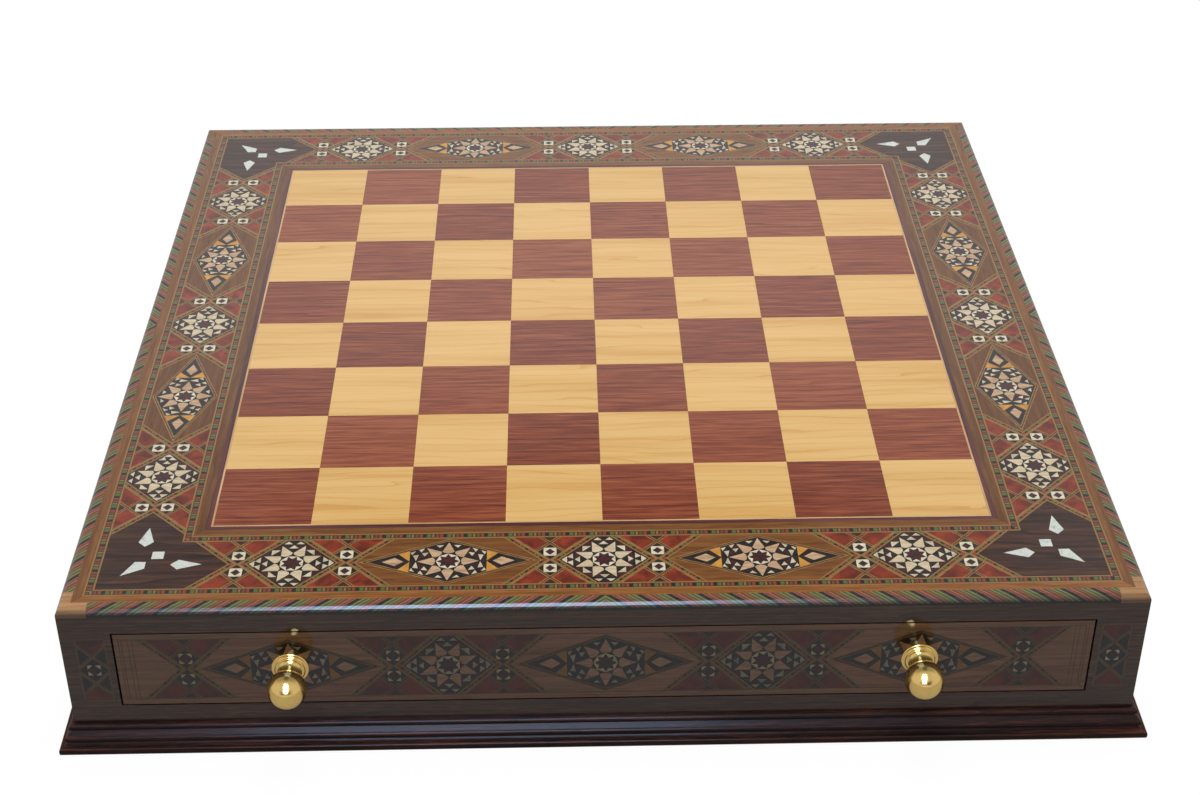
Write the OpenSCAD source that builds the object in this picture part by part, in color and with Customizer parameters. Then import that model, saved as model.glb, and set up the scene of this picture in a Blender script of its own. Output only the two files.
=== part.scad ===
// Inlaid chess box with two drawers: a board top with a marquetry border on a walnut case.
// Millimetres. Origin at the middle of the underside, +Z up, the front drawer faces -Y.

/* [Board] */
// Pitch of the playing squares
square_w = 40; // [30:1:55]
// Squares along one side of the board
squares = 8; // [8:2:10]
// Thickness of the veneers and of every inlaid tile
veneer_t = 1.2; // [0.8:0.1:2]
// Glue line left between two neighbouring tiles
glue_line = 0.05; // [0.02:0.01:0.1]

/* [Border] */
// Width of the pale line next to the squares
pale_line_w = 0.8; // [0.5:0.1:2]
// Width of the dark line outside the pale one
dark_line_w = 2.2; // [1:0.1:4]
// Width of the walnut band inside the marquetry
inner_band_w = 4; // [2:0.5:8]
// Width of each mosaic stringing
stringing_w = 4; // [2:0.5:6]
// Width of the marquetry strip
strip_w = 30; // [26:0.5:36]
// Width of the walnut band outside the marquetry
outer_band_w = 3.9; // [2:0.1:10]
// Width of the rope edging on the top
rope_w = 5.3; // [3:0.1:6.5]
// Height of the rope edging on the face
rope_h = 3.5; // [2.5:0.5:6]
// Length of each arm of the corner blocks
corner_block = 12; // [8:1:20]

/* [Marquetry] */
// Distance from a star to the next lozenge along a strip
motif_pitch = 62.6; // [60:0.1:66]
// Least distance that a corner field's tips reach past its square
corner_over = 4; // [2:0.5:20]
// Least gap between the corners of a lozenge and the edge of its strip
lozenge_gap = 0.2; // [0:0.1:2]
// Distance from a star to the knots beside it
knot_offset = 21.7; // [21:0.1:23]
// Distance of the small squares of a knot from the middle of the strip
knot_square_offset = 5.3; // [5:0.1:6]
// Side of the small square of a knot
knot_square_w = 5.2; // [4:0.1:6]
// Width of the pale double lines
line_w = 1.5; // [1:0.1:2]
// Width of the single lines beside the diagonal mosaic bands
thin_line_w = 0.6; // [0.3:0.1:1]
// Width of the diagonal mosaic bands
band_w = 2.4; // [1.5:0.1:3]
// Tip radius of the petals of a rosette
petal_r = 12.4; // [11:0.1:13]
// Distance of a petal's base from the middle of its rosette
petal_base = 6.3; // [6:0.1:8]
// Width of a petal at its base
petal_w = 5; // [3:0.1:5]
// Radius of the corners of the white ring round the dark core
ring_r = 4.9; // [4:0.1:5.5]
// Radius of the points of the dark core
core_r = 4.7; // [3:0.1:4.8]
// Half length of a lozenge
lozenge_l = 36; // [30:0.5:36.5]
// Half height of a lozenge
lozenge_h = 14.7; // [13:0.1:14.8]
// Half width of the panels on the ends of the side walls
stile_half_w = 6.1; // [4:0.1:7]
// How far those panels stand in from the middle of the wall
stile_in = 1.6; // [0:0.1:2.5]
// Distance from the middle of such a panel to the crossings of its lines
stile_cross = 6.9; // [6.5:0.1:8]

/* [Case] */
// Height of the whole box
case_h = 70; // [60:1:110]
// Thickness of the side walls
wall_t = 20; // [18:1:30]
// Thickness of the front and rear rails
rail_t = 12; // [10:1:18]
// Thickness of the board under the veneers
top_t = 8; // [6:0.5:12]
// Width of the ledge that carries that board
ledge = 5; // [3:0.5:6]
// Distance from the playing surface down to the drawer opening
opening_drop = 11.6; // [11:0.1:16]
// Height of the drawer opening
opening_h = 37.2; // [30:0.2:60]
// Thickness of the board under the drawers
bottom_t = 5; // [3:0.5:8]
// Thickness of the board between the two drawers
divider_t = 12; // [6:1:20]
// Side of the glue blocks under the bottom board
glue_block = 14; // [8:1:15]
// Length of the glue blocks
glue_block_l = 40; // [20:5:80]

/* [Plinth] */
// Height of the plinth moulding
plinth_h = 12.4; // [10:0.2:18]
// How far the plinth stands out from the case
plinth_out = 6.5; // [6:0.1:12]
// Radius of the two beads of the moulding
bead_r = 1.5; // [0.8:0.1:1.7]
// How far the middle of the upper bead stands out from the case
bead_out = 0.75; // [0:0.05:1.5]
// How far the lower bead stands out from the upper one
bead_step = 1.9; // [0.5:0.1:3]
// Height of the foot under the cove
foot_h = 3.6; // [2:0.2:5]
// Radius of the foot's lower edge
foot_r = 1.6; // [0.5:0.1:2.5]

/* [Drawers] */
// Gap round the drawer fronts
front_gap = 0.6; // [0.3:0.1:1.5]
// Gap on either side of a drawer
side_gap = 0.8; // [0.4:0.1:1.5]
// Thickness of the drawer front
front_t = 12; // [8:0.5:18]
// Thickness of the drawer sides and back
drawer_side_t = 8; // [5:0.5:12]
// Height of the drawer sides and back
drawer_side_h = 30; // [20:1:34]
// Thickness of the drawer bottom
drawer_bottom_t = 4; // [3:0.5:6]
// Height of the drawer bottom above the lower edges of the sides
bottom_lift = 2.5; // [2:0.5:5]
// Depth of the groove that holds the drawer bottom
groove = 3; // [2:0.5:4]
// Thickness of the felt lining
felt_t = 1; // [0.5:0.1:2]
// Clearance between a drawer and the board behind it
back_gap = 2; // [1:0.5:10]
// Thickness of the compartment dividers
partition_t = 3; // [2:0.5:5]
// Height of the compartment dividers
partition_h = 20; // [10:1:22]
// Compartments along a drawer
compartments = 8; // [4:1:8]
// Play in the crossings of the dividers
slot_play = 0.1; // [0.05:0.05:0.3]

/* [Knobs] */
// Diameter of the rosette against the drawer front
rosette_d = 15; // [12:0.5:22]
// Diameter of the neck
neck_d = 7.5; // [6:0.5:9]
// Thickness of the rosette
rosette_t = 2; // [1.5:0.1:3]
// Diameter of the ball
ball_d = 15.6; // [12:0.2:18]
// Distance of the ball's middle from the drawer front
ball_out = 13.2; // [12:0.2:18]
// Diameter of the knob screw
screw_d = 4; // [3:0.5:5]
// Diameter of the head of the knob screw
screw_head_d = 8; // [7:0.5:10]
// Height of the head of the knob screw
screw_head_h = 2.4; // [1.5:0.1:3]
// Play of the screw in its hole through the front
screw_play = 0.3; // [0.1:0.1:1]
// Depth of the threaded hole in the knob
screw_depth = 9; // [6:0.5:11]

/* [Hidden] */
$fn = 64;
case_nodes = ["top_board", "left_wall", "right_wall", "front_top_rail", "front_bottom_rail",
    "rear_top_rail", "rear_bottom_rail", "bottom_board", "drawer_divider", "glue_blocks",
    "front_plinth", "rear_plinth", "left_plinth", "right_plinth"];
top_nodes = ["light_squares", "dark_squares", "pale_line", "dark_line", "walnut_bands",
    "mosaic_stringing", "rope_edging", "front_corner_blocks", "rear_corner_blocks",
    "blackwood_tiles", "bone_inlays", "white_inlays", "rosewood_inlays", "padauk_tiles",
    "line_inlays", "mosaic_bands", "ochre_tips", "walnut_fields", "corner_fields",
    "pearl_inlays"];
front_nodes = ["front_drawer_face", "front_drawer_left_side", "front_drawer_right_side",
    "front_drawer_back", "front_drawer_bottom", "front_drawer_felt", "front_drawer_dividers",
    "front_drawer_knobs", "front_knob_screws", "front_drawer_blackwood", "front_drawer_bone",
    "front_drawer_padauk", "front_drawer_lines"];
rear_nodes = ["rear_drawer_face", "rear_drawer_left_side", "rear_drawer_right_side",
    "rear_drawer_back", "rear_drawer_bottom", "rear_drawer_felt", "rear_drawer_dividers",
    "rear_drawer_knobs", "rear_knob_screws", "rear_drawer_blackwood", "rear_drawer_bone",
    "rear_drawer_padauk", "rear_drawer_lines"];

// Half widths of the square rings of the top, from the board outwards
board_half = squares * square_w / 2;
dark_line_from = board_half + pale_line_w;
inner_band_from = dark_line_from + dark_line_w;
inner_string_from = inner_band_from + inner_band_w;
strip_from = inner_string_from + stringing_w;
outer_string_from = strip_from + strip_w;
outer_band_from = outer_string_from + stringing_w;
rope_from = outer_band_from + outer_band_w;
case_half = rope_from + rope_w;
strip_mid = strip_from + strip_w / 2;

// The motifs keep their size where a strip has room for them, and else shrink together
motif_run = 2 * motif_pitch + knot_offset + (thin_line_w + 2 * band_w) / sqrt(2);
motif_fit = min(1, (strip_mid - strip_w - corner_over) / motif_run,
    strip_w / 2 / (lozenge_h + lozenge_gap));
strip_half = strip_w / 2 / motif_fit;

// Heights of the case
base_top = case_h - veneer_t;
rope_z = case_h - rope_h;
board_z = base_top - top_t;
opening_top = case_h - opening_drop;
opening_z = opening_top - opening_h;
face_mid_z = opening_z + opening_h / 2;
inside_half = case_half - wall_t;

// Places of the motifs along a strip on the top and on a face
top_stars = [-2 * motif_pitch, 0, 2 * motif_pitch];
top_lozenges = [-motif_pitch, motif_pitch];
face_stars = top_lozenges;
face_lozenges = top_stars;
last_knot = 3 * motif_pitch - knot_offset;
top_knots = [for (s = top_stars, side = [-1, 1]) s + side * knot_offset];
face_knots = concat([for (s = face_stars, side = [-1, 1]) s + side * knot_offset],
    [-last_knot, last_knot]);

// Marquetry details that follow from the sizes above
line_reach = line_w / sqrt(2);
thin_reach = thin_line_w / sqrt(2);
band_reach = thin_reach + band_w * sqrt(2);
star_reach = knot_offset - band_reach;
field_reach = motif_pitch - knot_offset - band_reach;
corner_tip = motif_fit * motif_run;
ring_gap = 0.2;
core_tip = min(core_r, ring_r - ring_gap);
core_valley = 0.62 * core_tip;
lozenge_reach = min(lozenge_l, field_reach - 0.6);
lozenge_slope = lozenge_h / lozenge_reach;
lozenge_angle = atan(lozenge_slope);
inner_l = lozenge_reach - line_w / sin(lozenge_angle);
inner_h = lozenge_h - line_w / cos(lozenge_angle);
rosette_half = 15.5;
kite_start = 15.3;
kite_wide = 20;
kite_rim = [2.6, 1.5, -5.4];
bone_kite = [kite_start, kite_wide, inner_l] + kite_rim;
bone_kite_h = inner_at(kite_wide) - 2.3;
heart_w = 2;
frame_line = 0.5;
frame_inset = 2.8;
stile_half_h = opening_h / 2 - 2.4;
stile_x = case_half - wall_t / 2 - stile_in;
knob_x = 2 * motif_pitch * motif_fit;

// Drawer sizes
drawer_half = inside_half - side_gap;
drawer_h = opening_h - 2 * front_gap;
drawer_z = opening_z + front_gap;
drawer_back_y = -divider_t / 2 - back_gap;
drawer_front_y = -case_half + front_t;
tray_half = drawer_half - drawer_side_t;
tray_back_y = drawer_back_y - drawer_side_t;
tray_len = tray_back_y - drawer_front_y;
tray_z = opening_z + bottom_lift + drawer_bottom_t;
lining_z = tray_z + felt_t;

// ---------- shared shapes ----------

// A bar from one corner to another
module block(from, to) {
    translate(from) cube(to - from);
}

// Four mitred strips that make a square ring round the board
module ring_of_strips(from, width, z, height) {
    reach = from + width;
    for (side = [0:3])
        rotate(90 * side)
            translate([0, 0, z])
                linear_extrude(height)
                    polygon([[-from + glue_line, -from], [from - glue_line, -from],
                        [reach - glue_line, -reach], [-reach + glue_line, -reach]]);
}

// Points of an arc, from one angle to another
function arc(centre, radius, from, to, steps) = [for (i = [0:steps])
    centre + radius * [cos(from + (to - from) * i / steps), sin(from + (to - from) * i / steps)]];

// A length of moulding along the front edge, mitred at both ends; profile in [outwards, up]
module mitred_length(profile, half, from, reach) {
    intersection() {
        translate([-half - reach, -half, 0])
            rotate([90, 0, 90])
                linear_extrude(2 * (half + reach))
                    polygon([for (p = profile) [-p[0], p[1]]]);
        translate([0, 0, -1])
            linear_extrude(case_h + 2)
                polygon([[-half + from, -half + from], [half - from, -half + from],
                    [half + reach, -half - reach], [-half - reach, -half - reach]]);
    }
}

module at_each(places) {
    for (x = places) translate([x, 0, 0]) children();
}

module mirrored_x() {
    children();
    mirror([1, 0, 0]) children();
}

module mirrored_y() {
    children();
    mirror([0, 1, 0]) children();
}

module tile(points) {
    linear_extrude(veneer_t) polygon(points);
}

// ---------- the motifs of the marquetry, flat, lying from z = 0 to the veneer's thickness ----------

function star_outline(reach) = [[-reach, 0], [strip_half - reach, strip_half],
    [reach - strip_half, strip_half], [reach, 0], [reach - strip_half, -strip_half],
    [strip_half - reach, -strip_half]];

// The dark star in the middle of a rosette, its points on the radii of the petals
function rosette_core(turn) = [for (i = [0:15])
    (i % 2 == 0 ? core_tip : core_valley) * [cos(22.5 * i + turn), sin(22.5 * i + turn)]];

function ring_outline(turn) = [for (i = [0:7]) ring_r * [cos(45 * i + turn), sin(45 * i + turn)]];

function kite(start, wide, tip, height) = [[start, 0], [wide, height], [tip, 0], [wide, -height]];

function rhombus(l, h) = [[-l, 0], [0, h], [l, 0], [0, -h]];

module petals(turn) {
    for (i = [0:7])
        rotate(turn + 45 * i)
            tile([[petal_base, -petal_w / 2], [petal_r, 0], [petal_base, petal_w / 2]]);
}

module core(turn) {
    tile(rosette_core(turn));
}

module ring(turn) {
    difference() {
        tile(ring_outline(turn));
        translate([0, 0, -1]) scale([1, 1, 3]) core(turn);
    }
}

// Everything that is let into the ground of a rosette, as the pockets for it
module rosette_pockets(turn) {
    translate([0, 0, -veneer_t]) scale([1, 1, 3]) petals(turn);
    translate([0, 0, -veneer_t]) scale([1, 1, 3]) tile(ring_outline(turn));
}

module star_ground() {
    difference() {
        tile(star_outline(star_reach));
        rosette_pockets(22.5);
    }
}

// Half height of the lozenge's inner outline at a distance from its middle
function inner_at(x) = inner_h * (1 - x / inner_l);

module lozenge_ground() {
    difference() {
        tile([[-rosette_half, -inner_at(rosette_half)], [-rosette_half, inner_at(rosette_half)],
            [0, inner_h], [rosette_half, inner_at(rosette_half)],
            [rosette_half, -inner_at(rosette_half)], [0, -inner_h]]);
        rosette_pockets(0);
    }
}

module lozenge_frame() {
    linear_extrude(veneer_t)
        polygon(concat(rhombus(lozenge_reach, lozenge_h), rhombus(inner_l, inner_h)),
            paths = [[0, 1, 2, 3], [4, 5, 6, 7]]);
}

module black_kites() {
    mirrored_x()
        linear_extrude(veneer_t)
            polygon(concat(kite(kite_start, kite_wide, inner_l, inner_at(kite_wide)),
                kite(bone_kite[0], bone_kite[1], bone_kite[2], bone_kite_h)),
                paths = [[0, 1, 2, 3], [4, 5, 6, 7]]);
}

module bone_kites() {
    mirrored_x() tile(kite(bone_kite[0], bone_kite[1], bone_kite[2], bone_kite_h));
}

// Two triangles at each end, parted by the neck of the black kite
module ochre_pair() {
    neck = inner_at(kite_wide) * (rosette_half - kite_start) / (kite_wide - kite_start);
    mirrored_x() mirrored_y()
        tile([[rosette_half, neck], [rosette_half, inner_at(rosette_half)],
            [kite_wide, inner_at(kite_wide)]]);
}

module lozenge_field() {
    reach = field_reach;
    difference() {
        tile([[-reach, 0], [strip_half - reach, strip_half], [reach - strip_half, strip_half],
            [reach, 0], [reach - strip_half, -strip_half], [strip_half - reach, -strip_half]]);
        translate([0, 0, -1])
            linear_extrude(veneer_t + 2)
                polygon(rhombus(lozenge_reach, lozenge_h));
    }
}

// Half diagonal of the dark rhombus inside a knot, and where the double lines cross beyond it
knot_reach = knot_square_offset - thin_reach;
crossing = knot_square_offset + knot_reach + line_reach;

// The lines of a knot: a thin X in the middle, and a crossing of double lines above and below it
module lattice() {
    linear_extrude(veneer_t)
        intersection() {
            union() {
                for (turn = [45, -45]) rotate(turn)
                    translate([-strip_w, -thin_line_w / 2]) square([2 * strip_w, thin_line_w]);
                for (side = [-1, 1])
                    scale([1, side]) intersection() {
                        translate([0, crossing])
                            for (turn = [45, -45]) rotate(turn)
                                translate([-strip_w, -line_w / 2]) square([2 * strip_w, line_w]);
                        polygon([[0, 0], [strip_w, strip_w], [-strip_w, strip_w]]);
                    }
            }
            translate([-strip_half - line_w, -strip_half])
                square([2 * (strip_half + line_w), 2 * strip_half]);
        }
}

module knot_darks() {
    mirrored_y()
        translate([0, knot_square_offset, 0])
            difference() {
                tile(rhombus(knot_reach, knot_reach));
                translate([0, 0, -1]) knot_square_shape(veneer_t + 2);
            }
}

// The square of a knot where it lies on the rhombus, so its corners end at the rhombus's edge
module knot_square_shape(height) {
    side = knot_square_w / 2;
    cut = min(side, 0.97 * knot_reach - side);
    linear_extrude(height)
        polygon([[-side, -cut], [-side, cut], [-cut, side], [cut, side], [side, cut],
            [side, -cut], [cut, -side], [-cut, -side]]);
}

module knot_whites() {
    mirrored_y()
        translate([0, knot_square_offset, 0])
            difference() {
                knot_square_shape(veneer_t);
                translate([0, 0, -1])
                    linear_extrude(veneer_t + 2) polygon(rhombus(heart_w, heart_w));
            }
}

// The hearts of the squares, and the triangles between the double lines at the strip's edges
module knot_hearts() {
    mirrored_y() {
        translate([0, knot_square_offset, 0]) tile(rhombus(heart_w, heart_w));
        tile([[0, crossing + line_reach], [strip_half - crossing - line_reach, strip_half],
            [crossing + line_reach - strip_half, strip_half]]);
    }
}

module knot_reds() {
    near = crossing + line_reach;
    far = crossing - line_reach;
    mirrored_x() mirrored_y()
        tile([[-(near - thin_reach) / 2, (near + thin_reach) / 2], [-line_reach, crossing],
            [far - strip_half, strip_half], [thin_reach - strip_half, strip_half]]);
}

module knot_bands() {
    near = thin_reach + glue_line;
    mirrored_x()
        tile([[near, 0], [near + strip_half, strip_half],
            [band_reach + strip_half, strip_half], [band_reach, 0],
            [band_reach + strip_half, -strip_half], [near + strip_half, -strip_half]]);
}

// ---------- the stile panels on the ends of the side walls ----------

stile_w = stile_half_w - line_w / 2;
stile_h = stile_half_h - line_w / 2;

// A frame, and two crossings of double lines above and below the small square
module stile_lines() {
    difference() {
        tile([[-stile_half_w, -stile_half_h], [stile_half_w, -stile_half_h],
            [stile_half_w, stile_half_h], [-stile_half_w, stile_half_h]]);
        translate([-stile_w, -stile_h, -1]) cube([2 * stile_w, 2 * stile_h, veneer_t + 2]);
    }
    arm = stile_half_w * sqrt(2);
    intersection() {
        translate([-stile_half_w, -stile_h, 0]) cube([2 * stile_half_w, 2 * stile_h, veneer_t]);
        for (y = [-stile_cross, stile_cross], turn = [-45, 45])
            translate([0, y, 0]) rotate(turn)
                translate([-arm, -line_w / 2, 0]) cube([2 * arm, line_w, veneer_t]);
    }
}

module stile_square() {
    side = knot_square_w / 2;
    translate([-side, -side, 0]) cube([knot_square_w, knot_square_w, veneer_t]);
}

module stile_white() {
    difference() {
        stile_square();
        translate([0, 0, -1]) scale([1, 1, 3]) stile_heart();
    }
}

module stile_heart() {
    tile(rhombus(heart_w, heart_w));
}

module stile_dark() {
    near = stile_cross - line_reach;
    difference() {
        tile([[-stile_w, near - stile_w], [0, near], [stile_w, near - stile_w],
            [stile_w, stile_w - near], [0, -near], [-stile_w, stile_w - near]]);
        translate([0, 0, -1]) scale([1, 1, 3]) stile_square();
    }
    mirrored_x() mirrored_y()
        tile([[line_reach, stile_cross], [stile_w, stile_cross - stile_w + line_reach],
            [stile_w, stile_cross + stile_w - line_reach]]);
}

module stile_red() {
    far = stile_cross + line_reach;
    mirrored_y()
        tile([[0, far], [stile_w, far + stile_w], [stile_w, stile_h], [-stile_w, stile_h],
            [-stile_w, far + stile_w]]);
}

// ---------- where the marquetry goes ----------

// Motifs shrunk to the strip where it is too short or narrow for them
module fitted() {
    scale([motif_fit, motif_fit, 1]) children();
}

module on_top_borders() {
    for (side = [0:3])
        rotate(90 * side) translate([0, -strip_mid, base_top]) fitted() children();
}

module on_side_walls() {
    for (turn = [90, -90])
        rotate(turn) on_front() children();
}

module on_front() {
    translate([0, -case_half + veneer_t, face_mid_z]) rotate([90, 0, 0]) children();
}

module on_stiles() {
    for (turn = [0, 180], side = [-1, 1])
        rotate(turn)
            translate([side * stile_x, -case_half + veneer_t, face_mid_z])
                rotate([90, 0, 0]) children();
}

// The outline that the stars and knots of a face strip take up, and the lozenges
module face_pocket() {
    fitted() motif_pockets();
    line_frame(2 * veneer_t);
}

module motif_pockets() {
    reach = knot_offset + band_reach;
    at_each(face_stars)
        linear_extrude(2 * veneer_t)
            polygon([[-reach, 0], [-reach - strip_half, strip_half],
                [reach + strip_half, strip_half], [reach, 0],
                [reach + strip_half, -strip_half], [-reach - strip_half, -strip_half]]);
    at_each([-last_knot, last_knot])
        linear_extrude(2 * veneer_t)
            polygon([[-band_reach, 0], [-band_reach - strip_half, strip_half],
                [band_reach + strip_half, strip_half], [band_reach, 0],
                [band_reach + strip_half, -strip_half], [-band_reach - strip_half, -strip_half]]);
    at_each(face_lozenges)
        linear_extrude(2 * veneer_t) polygon(rhombus(lozenge_reach, lozenge_h));
}

// A thin line frame round a strip on a face
frame_half_l = drawer_half - frame_inset;
frame_half_h = strip_w / 2 + frame_line;

module line_frame(height) {
    inner_l = frame_half_l - frame_line;
    inner_h = frame_half_h - frame_line;
    difference() {
        translate([-frame_half_l, -frame_half_h, 0])
            cube([2 * frame_half_l, 2 * frame_half_h, height]);
        translate([-inner_l, -inner_h, -1]) cube([2 * inner_l, 2 * inner_h, height + 2]);
    }
}

// ---------- case ----------

// A side wall: a board with a rebate for the rope edging and a stopped ledge for the top board
module wall() {
    difference() {
        block([-case_half, -case_half, 0], [-inside_half, case_half, base_top]);
        block([-case_half - 1, -case_half - 1, rope_z],
            [-case_half + rope_w, case_half + 1, case_h]);
        for (turn = [0, 180])
            rotate(turn)
                block([-case_half - 1, -case_half - 1, rope_z],
                    [case_half + 1, -case_half + rope_w, case_h]);
        board_blank(1);
        rotate(-90) on_front() face_pocket();
        for (end = [-1, 1]) scale([1, end, 1]) stile_pocket();
    }
}

// The board under the veneers, with some height to spare where it is cut out of a wall
module board_blank(spare) {
    block([-inside_half - ledge, -case_half + rail_t - ledge, board_z],
        [inside_half + ledge, case_half - rail_t + ledge, base_top + spare]);
}

module stile_pocket() {
    translate([-stile_x, -case_half + veneer_t, face_mid_z])
        rotate([90, 0, 0])
            translate([-stile_half_w, -stile_half_h, 0])
                cube([2 * stile_half_w, 2 * stile_half_h, 2 * veneer_t]);
}

module top_rail() {
    translate([-inside_half, -case_half, 0])
        rotate([90, 0, 90])
            linear_extrude(2 * inside_half)
                polygon([[0, opening_top], [0, rope_z], [rope_w, rope_z], [rope_w, base_top],
                    [rail_t - ledge, base_top], [rail_t - ledge, board_z], [rail_t, board_z],
                    [rail_t, opening_top]]);
}

module bottom_rail() {
    block([-inside_half, -case_half, 0], [inside_half, -case_half + rail_t, opening_z]);
}

module top_board() {
    color("peru") board_blank(0);
}

module left_wall() {
    color("saddlebrown") wall();
}

module right_wall() {
    color("saddlebrown") rotate(180) wall();
}

module front_top_rail() {
    color("saddlebrown") top_rail();
}

module rear_top_rail() {
    color("saddlebrown") rotate(180) top_rail();
}

module front_bottom_rail() {
    color("saddlebrown") bottom_rail();
}

module rear_bottom_rail() {
    color("saddlebrown") rotate(180) bottom_rail();
}

module bottom_board() {
    color("burlywood")
        block([-inside_half, -case_half + rail_t, opening_z - bottom_t],
            [inside_half, case_half - rail_t, opening_z]);
}

module drawer_divider() {
    color("burlywood")
        block([-inside_half, -divider_t / 2, opening_z], [inside_half, divider_t / 2, board_z]);
}

// Blocks glued into the corners between the bottom board, the walls and the rails
module glue_blocks() {
    color("burlywood")
        for (side = [-1, 1], end = [-1, 1])
            scale([side, end, 1])
                block([inside_half - glue_block, case_half - rail_t - glue_block_l,
                    opening_z - bottom_t - glue_block],
                    [inside_half, case_half - rail_t, opening_z - bottom_t]);
}

// Two beads, a cove that flares out, and a rounded foot; [outwards, up]
function plinth_profile() =
    let (low_bead = [bead_out + bead_step, plinth_h - 4 * bead_r],
        cove_h = low_bead[1] - bead_r - foot_h, cove_from = low_bead[0] + 0.5,
        top_r = 0.9, cove_w = plinth_out - top_r - cove_from)
    concat([[0, 0], [0, plinth_h]],
        arc([bead_out, plinth_h - bead_r], bead_r, 90, -60, 8),
        arc(low_bead, bead_r, 70, -90, 8),
        [for (t = [0:11.25:90]) [cove_from + cove_w * (1 - cos(t)), foot_h + cove_h * (1 - sin(t))]],
        arc([plinth_out - top_r, foot_h - top_r], top_r, 75, 0, 4),
        arc([plinth_out - foot_r, foot_r], foot_r, 0, -90, 6));

module plinth() {
    mitred_length(plinth_profile(), case_half, 0, plinth_out);
}

module front_plinth() {
    color([0.2, 0.09, 0.07]) plinth();
}

module rear_plinth() {
    color([0.2, 0.09, 0.07]) rotate(180) plinth();
}

module left_plinth() {
    color([0.2, 0.09, 0.07]) rotate(-90) plinth();
}

module right_plinth() {
    color([0.2, 0.09, 0.07]) rotate(90) plinth();
}

// ---------- top ----------

module playing_squares(shade) {
    for (col = [0:squares - 1], row = [0:squares - 1])
        if ((col + row) % 2 == shade)
            translate([col * square_w - board_half + glue_line / 2,
                row * square_w - board_half + glue_line / 2, base_top])
                cube([square_w - glue_line, square_w - glue_line, veneer_t]);
}

module light_squares() {
    color([0.88, 0.7, 0.42]) playing_squares(1);
}

module dark_squares() {
    color([0.45, 0.13, 0.07]) playing_squares(0);
}

module pale_line() {
    color([0.85, 0.68, 0.45]) ring_of_strips(board_half, pale_line_w, base_top, veneer_t);
}

module dark_line() {
    color([0.3, 0.1, 0.1]) ring_of_strips(dark_line_from, dark_line_w, base_top, veneer_t);
}

module walnut_bands() {
    color([0.5, 0.28, 0.14]) {
        ring_of_strips(inner_band_from, inner_band_w, base_top, veneer_t);
        ring_of_strips(outer_band_from, outer_band_w, base_top, veneer_t);
    }
}

module mosaic_stringing() {
    color([0.6, 0.5, 0.25]) {
        ring_of_strips(inner_string_from, stringing_w, base_top, veneer_t);
        ring_of_strips(outer_string_from, stringing_w, base_top, veneer_t);
    }
}

// Section of the rope edging, rounded on its outer edge; [outwards from the case, up]
rope_round = 2.6;
rope_profile = concat([[-rope_w, rope_z], [-rope_w, case_h]],
    arc([-rope_round, case_h - rope_round], rope_round, 90, 0, 6), [[0, rope_z]]);

module rope_length() {
    intersection() {
        mitred_length(rope_profile, case_half, rope_w, 0);
        block([-case_half + corner_block, -case_half - 1, 0],
            [case_half - corner_block, -case_half + rope_w + 1, case_h]);
    }
}

module rope_edging() {
    color([0.7, 0.5, 0.3]) for (side = [0:3]) rotate(90 * side) rope_length();
}

module corner_pair(shade) {
    color(shade)
        for (side = [0, 90])
            rotate(side)
                intersection() {
                    union() {
                        mitred_length(rope_profile, case_half, rope_w, 0);
                        rotate(-90) mitred_length(rope_profile, case_half, rope_w, 0);
                    }
                    block([-case_half - 1, -case_half - 1, 0],
                        [-case_half + corner_block, -case_half + corner_block, case_h]);
                }
}

module front_corner_blocks() {
    corner_pair([0.85, 0.65, 0.4]);
}

module rear_corner_blocks() {
    rotate(180) corner_pair([0.5, 0.28, 0.14]);
}

// ---------- marquetry of the top, the side walls and the stiles ----------

module strip_blackwood(stars, lozenges, knots) {
    at_each(stars) star_ground();
    at_each(lozenges) {
        lozenge_ground();
        black_kites();
    }
    at_each(knots) knot_darks();
}

module strip_bone(stars, lozenges) {
    at_each(stars) petals(22.5);
    at_each(lozenges) {
        petals(0);
        bone_kites();
    }
}

module strip_white(stars, lozenges, knots) {
    at_each(stars) ring(22.5);
    at_each(lozenges) ring(0);
    at_each(knots) knot_whites();
}

module strip_rosewood(stars, lozenges, knots) {
    at_each(stars) core(22.5);
    at_each(lozenges) core(0);
    at_each(knots) knot_hearts();
}

module strip_lines(lozenges, knots) {
    at_each(lozenges) lozenge_frame();
    at_each(knots) lattice();
}

module blackwood_tiles() {
    color([0.08, 0.07, 0.08]) {
        on_top_borders() strip_blackwood(top_stars, top_lozenges, top_knots);
        on_side_walls() fitted() strip_blackwood(face_stars, face_lozenges, face_knots);
        on_stiles() stile_dark();
    }
}

module bone_inlays() {
    color([0.85, 0.76, 0.6]) {
        on_top_borders() strip_bone(top_stars, top_lozenges);
        on_side_walls() fitted() strip_bone(face_stars, face_lozenges);
    }
}

module white_inlays() {
    color([0.95, 0.93, 0.84]) {
        on_top_borders() strip_white(top_stars, top_lozenges, top_knots);
        on_side_walls() fitted() strip_white(face_stars, face_lozenges, face_knots);
        on_stiles() stile_white();
    }
}

module rosewood_inlays() {
    color([0.2, 0.07, 0.08]) {
        on_top_borders() strip_rosewood(top_stars, top_lozenges, top_knots);
        on_side_walls() fitted() strip_rosewood(face_stars, face_lozenges, face_knots);
        on_stiles() stile_heart();
    }
}

module padauk_tiles() {
    color([0.45, 0.1, 0.06]) {
        on_top_borders() at_each(top_knots) knot_reds();
        on_side_walls() fitted() at_each(face_knots) knot_reds();
        on_stiles() stile_red();
    }
}

module line_inlays() {
    color([0.65, 0.5, 0.25]) {
        on_top_borders() strip_lines(top_lozenges, top_knots);
        on_side_walls() {
            fitted() strip_lines(face_lozenges, face_knots);
            line_frame(veneer_t);
        }
        on_stiles() stile_lines();
    }
}

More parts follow.
